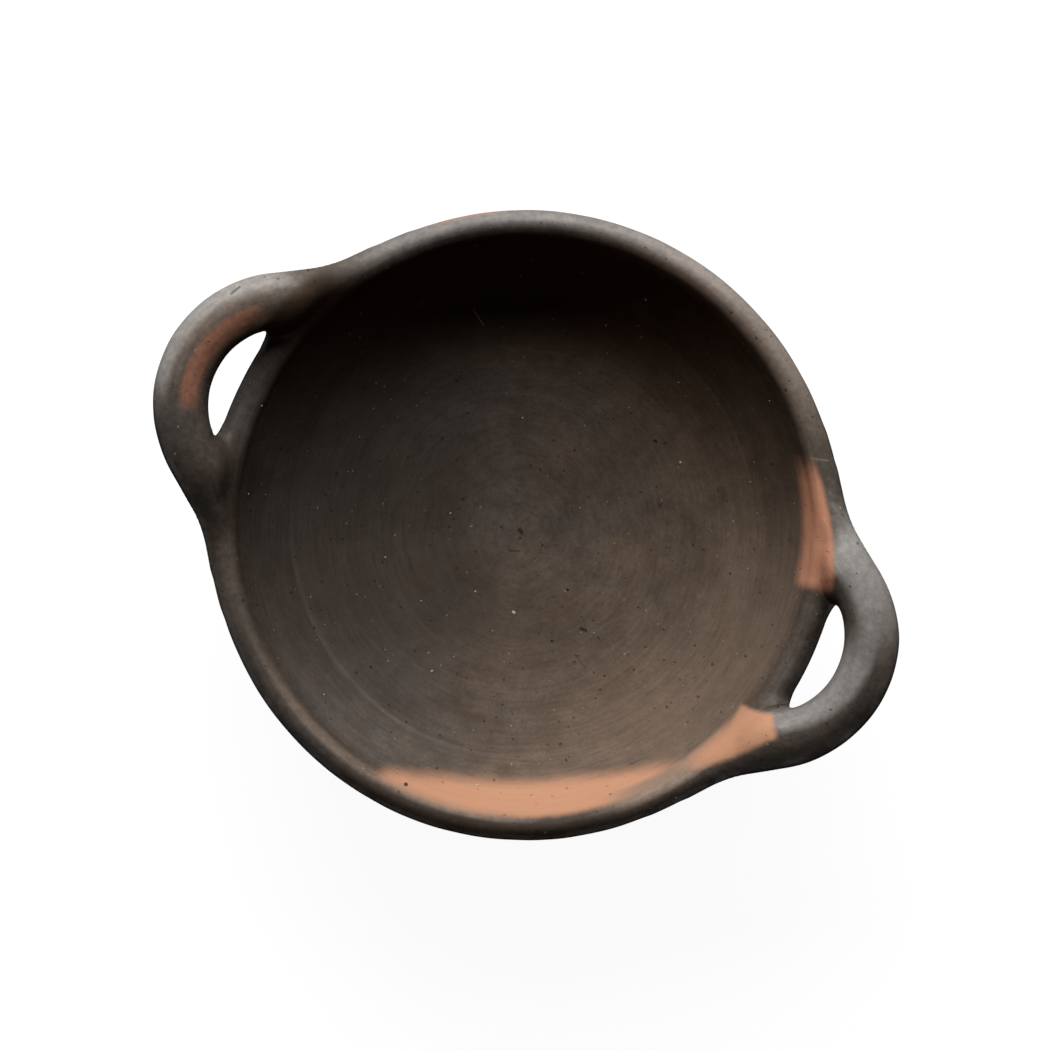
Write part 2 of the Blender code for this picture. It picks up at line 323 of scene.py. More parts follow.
Cloud = namedtuple("Cloud", "scale detail roughness", defaults=(0.5,))


def cloud(tree, place, kind, output=0):
    """Noise value of about 0 to 1 round 0.5."""
    made = add_node(tree, "ShaderNodeTexNoise", {
        "Vector": place, "Scale": kind.scale, "Detail": kind.detail, "Roughness": kind.roughness})
    return made.outputs[output]


def wavering(tree, place, kind):
    """Noise value round 0."""
    return calc(tree, "SUBTRACT", cloud(tree, place, kind), 0.5)


def toned(tree, base, tone):
    """A colour made lighter or darker by a tone round 1."""
    return blend(tree, 1.0, base, joined(tree, tone, tone, tone), "MULTIPLY")


def step_at(tree, value, middle, soft, low=0.0, high=1.0):
    """A value that eases from low to high about a middle."""
    start = calc(tree, "SUBTRACT", middle, soft)
    end = calc(tree, "ADD", middle, soft)
    return ramp(tree, value, start, end, low, high)


def facing_up(tree, normal, start, end):
    """How far a surface faces up."""
    return ramp(tree, split(tree, normal)[2], start, end)


def plan_radius(tree, spot):
    """Distance from the middle, seen from above."""
    squares = [product(tree, value, value) for value in (spot[0], spot[1])]
    return calc(tree, "SQRT", calc(tree, "ADD", *squares))


def opaque(linear_colour):
    """A colour with its alpha."""
    return (*linear_colour, 1.0)


def new_group(name, inputs, outputs, kind="ShaderNodeTree"):
    """A node group with named sockets: its tree, what it is given and what it puts out."""
    tree = bpy.data.node_groups.new(name, kind)
    for label, socket in inputs:
        tree.interface.new_socket(label, in_out="INPUT", socket_type="NodeSocket" + socket)
    for label, socket in outputs:
        tree.interface.new_socket(label, in_out="OUTPUT", socket_type="NodeSocket" + socket)
    given = tree.nodes.new("NodeGroupInput").outputs
    result = tree.nodes.new("NodeGroupOutput").inputs
    return tree, given, result


def use_group(tree, name, inputs):
    """Place a node group and set or link its inputs. Gives its outputs."""
    return add_node(tree, "ShaderNodeGroup", inputs, node_tree=bpy.data.node_groups[name]).outputs


def new_material(name):
    """A material with nodes: itself, its tree and its shader."""
    material = bpy.data.materials.new(name)
    material.use_nodes = True
    return material, material.node_tree, material.node_tree.nodes["Principled BSDF"]


def linked(name, data):
    """A new object in the scene."""
    made = bpy.data.objects.new(name, data)
    bpy.context.scene.collection.objects.link(made)
    return made


# Geometry node trees

def named(tree, name, kind="FLOAT"):
    """A named attribute as a field."""
    made = add_node(tree, "GeometryNodeInputNamedAttribute", {"Name": name}, data_type=kind)
    return made.outputs["Attribute"]


def stored(tree, geometry, name, value, kind="INT"):
    """Geometry with a value kept on its points."""
    made = add_node(tree, "GeometryNodeStoreNamedAttribute",
                    {"Geometry": geometry, "Name": name, "Value": value}, data_type=kind, domain="POINT")
    return made.outputs["Geometry"]


def picked(tree, geometry, value, index, kind="FLOAT_VECTOR"):
    """A value read from the seed's points by number."""
    made = add_node(tree, "GeometryNodeSampleIndex", {"Geometry": geometry, "Value": value, "Index": index},
                    data_type=kind, domain="POINT")
    return made.outputs["Value"]


def geometry_tree(name, inputs):
    """A geometry node tree: its tree, what it is given and what it puts out."""
    whole = [("Geometry", "Geometry")]
    return new_group(name, whole + inputs, whole, "GeometryNodeTree")


def position(tree):
    """Places of the points as a field."""
    return add_node(tree, "GeometryNodeInputPosition").outputs[0]


def ruled_grid(tree, rows, columns):
    """A grid whose points know their row and their column, the last column being the first again."""
    row_spans = calc(tree, "SUBTRACT", rows, 1.0)
    corners = calc(tree, "ADD", columns, 1.0)
    grid = add_node(tree, "GeometryNodeMeshGrid", {"Size X": columns, "Size Y": row_spans,
                                                   "Vertices X": corners, "Vertices Y": rows})
    spot = split(tree, position(tree))
    column = calc(tree, "ROUND", calc(tree, "ADD", spot[0], calc(tree, "MULTIPLY", columns, 0.5)))
    row = calc(tree, "ROUND", calc(tree, "ADD", spot[1], calc(tree, "MULTIPLY", row_spans, 0.5)))
    wrapped = calc(tree, "FLOORED_MODULO", column, columns)
    kept = stored(tree, grid.outputs["Mesh"], "row", row)
    return stored(tree, kept, "column", wrapped)


def swept_grid(tree, seed, columns):
    """A grid with a row for each of the seed's points, and the cosine and sine of each column's turn."""
    rows = add_node(tree, "GeometryNodeAttributeDomainSize", {"Geometry": seed}).outputs[0]
    part = calc(tree, "DIVIDE", named(tree, "column", "INT"), columns)
    turn = calc(tree, "MULTIPLY", part, math.tau)
    return ruled_grid(tree, rows, columns), calc(tree, "COSINE", turn), calc(tree, "SINE", turn)


def finished(tree, geometry, places, material):
    """Points moved to their places, the seam and the poles closed, and the material set."""
    moved = add_node(tree, "GeometryNodeSetPosition", {"Geometry": geometry, "Position": places})
    closed = add_node(tree, "GeometryNodeMergeByDistance",
                      {"Geometry": moved.outputs[0], "Distance": SAME_POINT})
    real = add_node(tree, "GeometryNodeRealizeInstances", {"Geometry": closed.outputs[0]})
    return add_node(tree, "GeometryNodeSetMaterial",
                    {"Geometry": real.outputs[0], "Material": material}).outputs[0]


def turned_clay_tree():
    """Turns a profile, given as a row of points at radius X and height Z, round the Z axis."""
    tree, given, result = geometry_tree("Turned clay", [("Turn Steps", "Int"), ("Clay", "Material")])
    grid, cosine, sine = swept_grid(tree, given["Geometry"], given["Turn Steps"])
    profile = split(tree, picked(tree, given["Geometry"], position(tree), named(tree, "row", "INT")))
    places = joined(tree, product(tree, profile[0], cosine), product(tree, profile[0], sine), profile[2])
    tree.links.new(finished(tree, grid, places, given["Clay"]), result["Geometry"])
    return tree


def rolled_coil_tree():
    """Rolls a coil along a path of points that know which way is outward and how thick the coil is."""
    tree, given, result = geometry_tree(
        "Rolled coil", [("Sides", "Int"), ("Flatness", "Float"), ("Clay", "Material")])
    grid, cosine, sine = swept_grid(tree, given["Geometry"], given["Sides"])
    row = named(tree, "row", "INT")
    centre = picked(tree, given["Geometry"], position(tree), row)
    outward = picked(tree, given["Geometry"], named(tree, "outward", "FLOAT_VECTOR"), row)
    girth = picked(tree, given["Geometry"], named(tree, "girth"), row, "FLOAT")
    across = product(tree, girth, cosine)
    upward = product(tree, girth, given["Flatness"], sine)
    sideways = vector_calc(tree, "MULTIPLY", outward, joined(tree, across, across, across))
    shift = vector_calc(tree, "ADD", sideways, joined(tree, 0.0, 0.0, upward))
    places = vector_calc(tree, "ADD", centre, shift)
    tree.links.new(finished(tree, grid, places, given["Clay"]), result["Geometry"])
    return tree


def sand_grain_tree():
    """Scatters half-sunk grains of sand over a skin."""
    tree, given, result = geometry_tree(
        "Sand grains", [("Density", "Float"), ("Smallest", "Float"), ("Largest", "Float"),
                        ("Lowest", "Float"), ("Seed", "Int"), ("Sand", "Material")])
    height = split(tree, position(tree))[2]
    spread = add_node(tree, "GeometryNodeDistributePointsOnFaces",
                      {"Mesh": given["Geometry"], "Density": given["Density"], "Seed": given["Seed"],
                       "Selection": calc(tree, "GREATER_THAN", height, given["Lowest"])})
    grain = add_node(tree, "GeometryNodeMeshIcoSphere", {"Radius": 1.0, "Subdivisions": 1})
    chance = add_node(tree, "FunctionNodeRandomValue", {"Seed": given["Seed"]}, data_type="FLOAT")
    skewed = calc(tree, "POWER", chance.outputs[1], GRAIN_SKEW)
    span = calc(tree, "SUBTRACT", given["Largest"], given["Smallest"])
    size = calc(tree, "MULTIPLY_ADD", skewed, span, given["Smallest"])
    flat = calc(tree, "MULTIPLY", size, GRAIN_FLATNESS)
    sown = add_node(tree, "GeometryNodeInstanceOnPoints",
                    {"Points": spread.outputs["Points"], "Instance": grain.outputs["Mesh"],
                     "Rotation": spread.outputs["Rotation"], "Scale": joined(tree, size, size, flat)})
    real = add_node(tree, "GeometryNodeRealizeInstances", {"Geometry": sown.outputs[0]})
    clad = add_node(tree, "GeometryNodeSetMaterial",
                    {"Geometry": real.outputs[0], "Material": given["Sand"]})
    tree.links.new(clad.outputs[0], result["Geometry"])
    return tree


def grown(name, seed_mesh, tree, settings):
    """Run a geometry node tree on a seed mesh and give what it makes as a plain mesh."""
    carrier = linked(name, seed_mesh)
    modifier = carrier.modifiers.new(name, "NODES")
    modifier.node_group = tree
    for item in tree.interface.items_tree:
        if item.in_out == "INPUT" and item.name in settings:
            modifier[item.identifier] = settings[item.name]
    graph = bpy.context.evaluated_depsgraph_get()
    made = bpy.data.meshes.new_from_object(carrier.evaluated_get(graph), depsgraph=graph)
    carrier.modifiers.remove(modifier)
    bpy.data.objects.remove(carrier)
    if not made.polygons:
        raise RuntimeError(f"{name} came out empty")
    return made


# Shapes

def eased(part):
    """A share from 0 to 1 that starts and ends gently."""
    part = np.clip(part, 0.0, 1.0)
    return part * part * (3.0 - 2.0 * part)


def bowed(start, end, bulge, spans):
    """Points after start up to end, on a shallow curve that bows to the right of the way."""
    start = np.array(start)
    run = np.array(end) - start
    side = np.array((run[1], -run[0])) / np.hypot(*run)
    part = np.arange(1, spans + 1)[:, None] / spans
    return start + run * part + side * bulge * 4.0 * part * (1.0 - part)


def evenly(points, spans):
    """The line through the points cut into equal spans, without its first point."""
    steps = np.hypot(*np.diff(points, axis=0).T)
    along = np.concatenate(((0.0,), np.cumsum(steps)))
    marks = np.linspace(0.0, along[-1], spans + 1)[1:]
    return np.column_stack([np.interp(marks, along, points[:, axis]) for axis in (0, 1)])


def rim_line(sizes):
    """The rim's section from the inner joint over its rounded top to the outer joint."""
    middle = sizes.rim_radius - sizes.rim_width / 2.0
    widest = sizes.height - sizes.rim_crown
    turns = np.linspace(math.pi, 0.0, RIM_POINTS)
    top = np.column_stack((middle + sizes.rim_width / 2.0 * np.cos(turns),
                           widest + sizes.rim_crown * np.sin(turns)))
    inner = (sizes.rim_radius - sizes.rim_width - sizes.rim_flare, sizes.joint_height)
    outer = (sizes.rim_radius - sizes.rim_flare, sizes.joint_height)
    return np.vstack((inner, top, outer))


def bowl_profile(sizes):
    """Radius and height of each row of the bowl's skin."""
    depth = sizes.crease_height - sizes.floor_thickness
    sphere = (sizes.crease_radius ** 2 + depth ** 2) / (2.0 * depth)
    rise = np.linspace(0.0, math.asin(sizes.crease_radius / sphere), FLOOR_ROWS + 1)
    floor = np.column_stack((sphere * np.sin(rise),
                             sizes.floor_thickness + sphere * (1.0 - np.cos(rise))))
    rim = rim_line(sizes)
    seam = (sizes.seam_radius, sizes.seam_height)
    foot_edge = (sizes.foot_radius, 0.0)
    rows = np.vstack((
        floor,
        bowed(floor[-1], rim[0], sizes.inside_bulge, WALL_ROWS),
        evenly(rim, RIM_ROWS),
        bowed(seam, rim[-1], sizes.outside_bulge, OUTSIDE_ROWS)[-2::-1],
        (seam,),
        bowed(foot_edge, seam, sizes.underside_bulge, UNDERSIDE_ROWS)[-2::-1],
        (foot_edge,),
        bowed(foot_edge, (0.0, 0.0), 0.0, FOOT_ROWS),
    ))
    for _ in range(SOFTENING_ROUNDS):
        middle = (rows[:-2] + rows[2:]) / 2.0
        rows[1:-1] += SOFTENING_SHARE * (middle - rows[1:-1])
    rows[0, 0] = 0.0
    rows[-1, 0] = 0.0
    return rows


HANDS = {"left": -1, "right": 1}
REAR, FRONT = 1, -1

# How much farther out than the rest each handle stands, and the rim between its roots, in mm
STANDS = {"left": 0.3, "right": -0.2}
SPREADS = {"left": 1.1, "right": 0.4}

# How much wider than the rest each root is, in mm
SWELLS = {("left", REAR): 0.2, ("left", FRONT): -0.3, ("right", REAR): -0.9, ("right", FRONT): 0.25}


def handle_turn(hand, sizes):
    """Turn of a handle's middle round the bowl."""
    return sizes.skew if hand == "right" else math.pi - sizes.skew


def placed(local, turn):
    """Points given as outward, sideways and up along a handle, in the bowl's frame."""
    forward, sideways = local[:, 0], local[:, 1]
    return np.column_stack((forward * math.cos(turn) - sideways * math.sin(turn),
                            forward * math.sin(turn) + sideways * math.cos(turn), local[:, 2]))


def led_curve(corners, part):
    """Points on a curve that four corners lead, and unit ways along it."""
    rest = 1.0 - part
    points = (corners[0] * rest ** 3 + corners[1] * 3.0 * rest ** 2 * part
              + corners[2] * 3.0 * rest * part ** 2 + corners[3] * part ** 3)
    run = ((corners[1] - corners[0]) * rest ** 2 + (corners[2] - corners[1]) * 2.0 * rest * part
           + (corners[3] - corners[2]) * part ** 2)
    return points, run / np.hypot(*run.T)[:, None]


Path = namedtuple("Path", "centre outward girth")


def half_path(bowl, sizes, stand, swell):
    """Half of a handle's middle line, from its outermost point over a root to the buried tip."""
    loop_centre = sizes.reach + stand - sizes.coil_width / 2.0 - sizes.loop_radius
    girth = sizes.coil_width / 2.0
    turns = np.linspace(0.0, sizes.sweep, COIL_STATIONS // 2 + 1)
    coil = np.column_stack((loop_centre + sizes.loop_radius * np.cos(turns),
                            sizes.loop_radius * np.sin(turns),
                            bowl.height + sizes.lift + sizes.rise * np.cos(turns)))
    coil_out = np.column_stack((np.cos(turns), np.sin(turns)))
    rim_middle = bowl.rim_radius - bowl.rim_width / 2.0
    way = np.array((-math.sin(sizes.sweep), math.cos(sizes.sweep)))
    tip_out = np.array((math.cos(sizes.tip_turn), math.sin(sizes.tip_turn)))
    tip_way = np.array((-tip_out[1], tip_out[0]))
    start = coil[-1, :2]
    tip = tip_out * rim_middle
    pull = np.hypot(*(tip - start)) / 3.0
    part = np.arange(1, ROOT_STATIONS + 1)[:, None] / ROOT_STATIONS
    root, run = led_curve((start, start + way * pull, tip - tip_way * pull, tip), part)
    root_girth = girth + (sizes.tip_width / 2.0 - girth) * eased(part[:, 0])
    tip_height = bowl.height - sizes.tip_depth
    root_height = coil[-1, 2] + (tip_height - coil[-1, 2]) * eased(part[:, 0])
    close = np.arange(1, TIP_STATIONS + 1)[:, None] / TIP_STATIONS
    end = tip + tip_way * sizes.tip_width / 2.0 * np.sin(close * math.pi / 2.0)
    end_girth = sizes.tip_width / 2.0 * np.cos(close[:, 0] * math.pi / 2.0)
    centre = np.vstack((coil, np.column_stack((root, root_height)),
                        np.column_stack((end, np.full(TIP_STATIONS, tip_height)))))
    outward = np.vstack((coil_out, np.column_stack((run[:, 1], -run[:, 0])),
                         np.repeat(tip_out[None, :], TIP_STATIONS, axis=0)))
    widths = np.concatenate((np.full(len(coil), girth), root_girth, end_girth))
    still = np.zeros(TIP_STATIONS)
    nearing = eased((turns / sizes.sweep - EVEN_COIL) / (1.0 - EVEN_COIL))
    swollen = swell / 2.0 * np.concatenate((nearing, eased(1.0 - part[:, 0]), still))
    drawn_back = eased(part[:, 0] / PINCH_START) * eased((1.0 - part[:, 0]) / PINCH_END)
    pinched = sizes.root_pinch / 2.0 * np.concatenate((np.zeros(len(coil)), drawn_back, still))
    centre[:, :2] += outward * (swollen + pinched)[:, None]
    return Path(centre, outward, widths + swollen - pinched)


def handle_path(hand, bowl, sizes):
    """Middle line of a whole handle in the bowl's frame, from one buried tip to the other."""
    turn = handle_turn(hand, sizes)
    stand = STANDS[hand] * MM
    first = half_path(bowl, sizes, stand, SWELLS[hand, -HANDS[hand]] * MM)
    last = half_path(bowl, sizes, stand, SWELLS[hand, HANDS[hand]] * MM)
    centre = placed(np.vstack((first.centre[:0:-1] * (1.0, -1.0, 1.0), last.centre)), turn)
    outward = np.vstack((first.outward[:0:-1] * (1.0, -1.0), last.outward))
    level = np.column_stack((outward, np.zeros(len(outward))))
    girth = np.concatenate((first.girth[:0:-1], last.girth))
    return Path(centre, placed(level, turn), girth)


def section_distance(points, rows):
    """Signed distance of points from the bowl's upper part, less than 0 in the clay."""
    spot = np.column_stack((np.hypot(points[:, 0], points[:, 1]), points[:, 2]))
    run = np.diff(rows, axis=0)
    away = spot[:, None, :] - rows[None, :-1]
    part = np.clip((away * run).sum(2) / (run ** 2).sum(1), 0.0, 1.0)
    miss = away - part[:, :, None] * run
    square = (miss ** 2).sum(2)
    nearest = square.argmin(1)
    each = np.arange(len(points))
    side = run[nearest, 0] * miss[each, nearest, 1] - run[nearest, 1] * miss[each, nearest, 0]
    return np.copysign(np.sqrt(square[each, nearest]), side)


def tube_distance(points, path, flatness=1.0):
    """Signed distance of points from a tube of changing girth along a path."""
    squeeze = np.array((1.0, 1.0, 1.0 / flatness))
    start = path.centre[:-1] * squeeze
    run = np.diff(path.centre * squeeze, axis=0)
    square = np.maximum((run ** 2).sum(1), SAME_POINT ** 2)
    away = (points * squeeze)[:, None, :] - start[None]
    part = np.clip((away * run).sum(2) / square, 0.0, 1.0)
    gap = np.sqrt(((away - part[:, :, None] * run) ** 2).sum(2))
    girth = path.girth[:-1] + part * np.diff(path.girth)
    return (gap - girth).min(1)


def saddle_path(hand, side, bowl, sizes):
    """Clay smeared on the rim beside a root: a ridge that rises from the rim and runs out along it."""
    part = np.linspace(0.0, 1.0, SADDLE_STATIONS)
    swell = eased(part / SADDLE_RISE) * eased((1.0 - part) / (1.0 - SADDLE_RISE))
    turns = handle_turn(hand, sizes) + side * HANDS[hand] * (
        sizes.saddle_start + (sizes.saddle_end - sizes.saddle_start) * part)
    tip, widest = sizes.tip_width / 2.0, sizes.saddle_width / 2.0
    girth = tip + (widest - tip) * swell
    buried = bowl.height - sizes.tip_depth
    height = buried + (bowl.height + sizes.saddle_height - widest - buried) * swell
    centre = np.column_stack((sizes.saddle_radius * np.cos(turns), sizes.saddle_radius * np.sin(turns),
                              height))
    return Path(centre, None, girth)


def soft_union(first, second, reach):
    """Distance from two shapes that run together in a fillet of the given reach."""
    near = np.clip(reach - np.abs(first - second), 0.0, None)
    return np.minimum(first, second) - near ** 2 / (4.0 * reach)


class Clay:
    """Distances from the bowl with the clay smeared on its rim, and from the handles."""

    def __init__(self, bowl, sizes):
        self.sizes = sizes
        self.rows = bowl_profile(bowl)[CREASE_ROW:SEAM_ROW:COARSE_STEP]
        self.handles = {}
        self.saddles = {}
        self.corners = []
        for hand, way in HANDS.items():
            whole = handle_path(hand, bowl, sizes)
            self.handles[way] = Path(whole.centre[::COARSE_STEP], None, whole.girth[::COARSE_STEP])
            inside = (whole.centre - whole.outward * whole.girth[:, None])[:, :2]
            clear = np.nonzero(np.hypot(*inside.T) > bowl.rim_radius)[0]
            self.corners += [inside[clear[0]], inside[clear[-1]]]
            for side in (FRONT, REAR):
                self.saddles[way, side] = saddle_path(hand, side, bowl, sizes)

    def reach(self, points):
        """Reach of the fillet between coil and rim, longer in the narrow ends of the holes."""
        gaps = [np.hypot(*(points[:, :2] - corner).T) for corner in self.corners]
        narrow = np.exp(-(np.min(gaps, axis=0) / self.sizes.corner_span) ** 2)
        return self.sizes.fillet + (self.sizes.corner_fillet - self.sizes.fillet) * narrow

    def smear(self, points):
        """Distance from the nearest smeared clay."""
        distance = np.empty(len(points))
        ways = np.where(points[:, 0] > 0.0, 1, -1)
        sides = np.where(points[:, 1] > 0.0, 1, -1)
        for (way, side), path in self.saddles.items():
            own = (ways == way) & (sides == side)
            distance[own] = tube_distance(points[own], path)
        return distance

    def bowl(self, points):
        """Distance from the bowl and its smeared clay."""
        return soft_union(section_distance(points, self.rows), self.smear(points), self.sizes.smear)

    def handle(self, points):
        """Distance from the nearer handle."""
        distance = np.empty(len(points))
        ways = np.where(points[:, 0] > 0.0, 1, -1)
        for way, path in self.handles.items():
            own = ways == way
            distance[own] = tube_distance(points[own], path, self.sizes.flatness)
        return distance


def uphill(points, distance, level):
    """Unit ways in which a distance grows fastest from its level at the points."""
    ways = np.empty((len(points), 3))
    for axis in range(3):
        shift = np.zeros(3)
        shift[axis] = SLOPE_STEP
        ways[:, axis] = distance(points + shift) - level
    return ways / np.maximum(np.linalg.norm(ways, axis=1), SAME_POINT ** 2)[:, None]


def grown_out(points, distance):
    """Points in the clay moved out to its surface, and the ways that they face there."""
    moved = points.copy()
    for _ in range(SEARCH_STEPS):
        level = distance(moved)
        ways = uphill(moved, distance, level)
        moved += ways * np.clip(-level, 0.0, LONGEST_STEP)[:, None]
    return moved, ways


def smeared(points, clay, reach):
    """The bowl's skin moved out to the clay that is smeared on it."""
    near = clay.smear(points) < reach
    moved = points.copy()
    moved[near], _ = grown_out(points[near], clay.bowl)
    return moved


def run_together(points, own, other, clay):
    """Move a skin out to the joint's fillet, and let it sink where the other piece's skin takes over."""
    gap = other(points)
    near = np.abs(gap) < clay.reach(points)
    spots = points[near]
    landed, ways = grown_out(spots, lambda place: soft_union(own(place), other(place), clay.reach(place)))
    behind = (own(landed) - other(landed)) / clay.reach(landed)
    landed -= ways * (clay.sizes.sink * eased(behind))[:, None]
    moved = points.copy()
    moved[near] += (landed - spots) * eased(1.0 + gap[near] / clay.reach(spots))[:, None]
    return moved


def read_points(mesh):
    """Places of a mesh's points."""
    flat = np.empty(len(mesh.vertices) * 3)
    mesh.vertices.foreach_get("co", flat)
    return flat.reshape(-1, 3)


def read_normals(mesh):
    """Normals of a mesh's points."""
    flat = np.empty(len(mesh.vertices) * 3, np.float32)
    mesh.vertex_normals.foreach_get("vector", flat)
    return flat.reshape(-1, 3).astype(float)


def read_numbers(mesh, name):
    """Whole numbers kept on a mesh's points."""
    numbers = np.empty(len(mesh.vertices), np.int32)
    mesh.attributes[name].data.foreach_get("value", numbers)
    return numbers


def write_points(mesh, points):
    """Put a mesh's points in their places."""
    mesh.vertices.foreach_set("co", points.astype(np.float32).ravel())
    mesh.update()


def face_outward(mesh):
    """Turn a closed mesh's faces outward and shade it smooth."""
    builder = bmesh.new()
    builder.from_mesh(mesh)
    bmesh.ops.recalc_face_normals(builder, faces=builder.faces)
    builder.to_mesh(mesh)
    builder.free()
    mesh.shade_smooth()


def hand_shaped(points, bowl, handles):
    """Points with the slow drift and the finger dents of a hand-built pot, the same in each run."""
    noise.seed_set(HAND_SEED)
    shaped = points.copy()
    for index, place in enumerate(points):
        spot = Vector(place)
        drift = noise.noise_vector(spot * DRIFT_FINENESS) * bowl.drift
        small = SMALL_DENT_SHARE * noise.noise_vector(spot * SMALL_DENT_FINENESS)
        dent = (noise.noise_vector(spot * DENT_FINENESS) + small) * bowl.dent
        shaped[index] += np.array(drift + dent)
    turn = np.arctan2(points[:, 1], points[:, 0])
    radius = np.hypot(points[:, 0], points[:, 1])
    upper = eased((points[:, 2] - bowl.crease_height) / (bowl.height - bowl.crease_height))
    within = eased((bowl.rim_radius + RIM_MARGIN - radius) / RIM_FADE)
    outer = eased((radius - bowl.rim_radius + bowl.rim_width) / bowl.rim_width)
    for hand in HANDS:
        aside = np.abs(np.angle(np.exp(1j * (turn - handle_turn(hand, handles)))))
        press = upper * within * eased((handles.saddle_start - aside) / PRESS_FADE)
        shaped[:, 2] -= bowl.rim_press * press
        most = SPREADS[hand] * MM * outer * upper * within
        spread = most * eased((SPREAD_HALF_TURN - aside) / SPREAD_FADE)
        shaped[:, :2] += points[:, :2] / radius[:, None].clip(MM) * spread[:, None]
    shaped[:, 2] = np.maximum(shaped[:, 2], 0.0)
    return shaped


def ring_relief(points, rows, bowl):
    """Height of the rings that smoothing left inside the bowl, and of the wall's edge over the floor."""
    relief = bowl.ledge * eased(rows - CREASE_ROW + 1.0) * eased((RIM_INNER_ROW - rows) / WALL_ROWS)
    fade = eased((RIM_INNER_ROW - rows) / RING_FADE_ROWS)
    for index in np.nonzero(rows < RIM_INNER_ROW)[0]:
        x, y, _ = points[index]
        radius = math.hypot(x - RING_CENTRE.x, y - RING_CENTRE.y)
        turn = math.atan2(y - RING_CENTRE.y, x - RING_CENTRE.x)
        spot = Vector((radius * RING_FINENESS, RING_ARC * math.cos(turn), RING_ARC * math.sin(turn)))
        relief[index] += noise.noise(spot) * bowl.ring_depth * fade[index]
    return relief


def ring_of(numbers, order, wanted):
    """Points of one row in their order round it."""
    members = np.nonzero(numbers == wanted)[0]
    return members[np.argsort(order[members])]


def strip(first, second):
    """Faces of a band between two rings."""
    count = len(first)
    return [(first[i], first[(i + 1) % count], second[(i + 1) % count], second[i]) for i in range(count)]


def cut_piece(name, skin, spans, closing, material):
    """A closed piece cut from a skin: the faces whose rows lie in the spans, and faces along its seams."""
    points = read_points(skin)
    normals = read_normals(skin)
    rows = read_numbers(skin, "row")
    faces = []
    for face in skin.polygons:
        corners = tuple(face.vertices)
        own = rows[list(corners)]
        if any(low <= own.min() and own.max() <= high for low, high in spans):
            faces.append(corners)
    shown = len(faces)
    faces += closing
    used = np.unique(np.concatenate([np.array(face) for face in faces]))
    renumbered = np.full(len(points), -1)
    renumbered[used] = np.arange(len(used))
    mesh = bpy.data.meshes.new(name)
    mesh.from_pydata(points[used], [], [tuple(renumbered[list(face)]) for face in faces])
    face_outward(mesh)
    shading = []
    for number, face in enumerate(mesh.polygons):
        for corner in face.vertices:
            shading.append(tuple(normals[used[corner]]) if number < shown else tuple(face.normal))
    mesh.normals_split_custom_set(shading)
    mesh.materials.append(material)
    return linked(name, mesh)


def hand_over(piece, slot, *nodes):
    """Seat a finished piece on its body and let it stand for its nodes."""
    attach(piece, BODY)
    if nodes:
        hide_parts(*nodes)


# Marks of the fire and of use, and painted shade and highlights, measured on the object: places in mm and
# turns in degrees

MIDDLE = (0.0, 0.0)
LEFT_LOOP = (-75.0, 1.2)
RIGHT_LOOP = (75.0, 1.2)
RIGHT_ROOT = (78.8, -2.1)

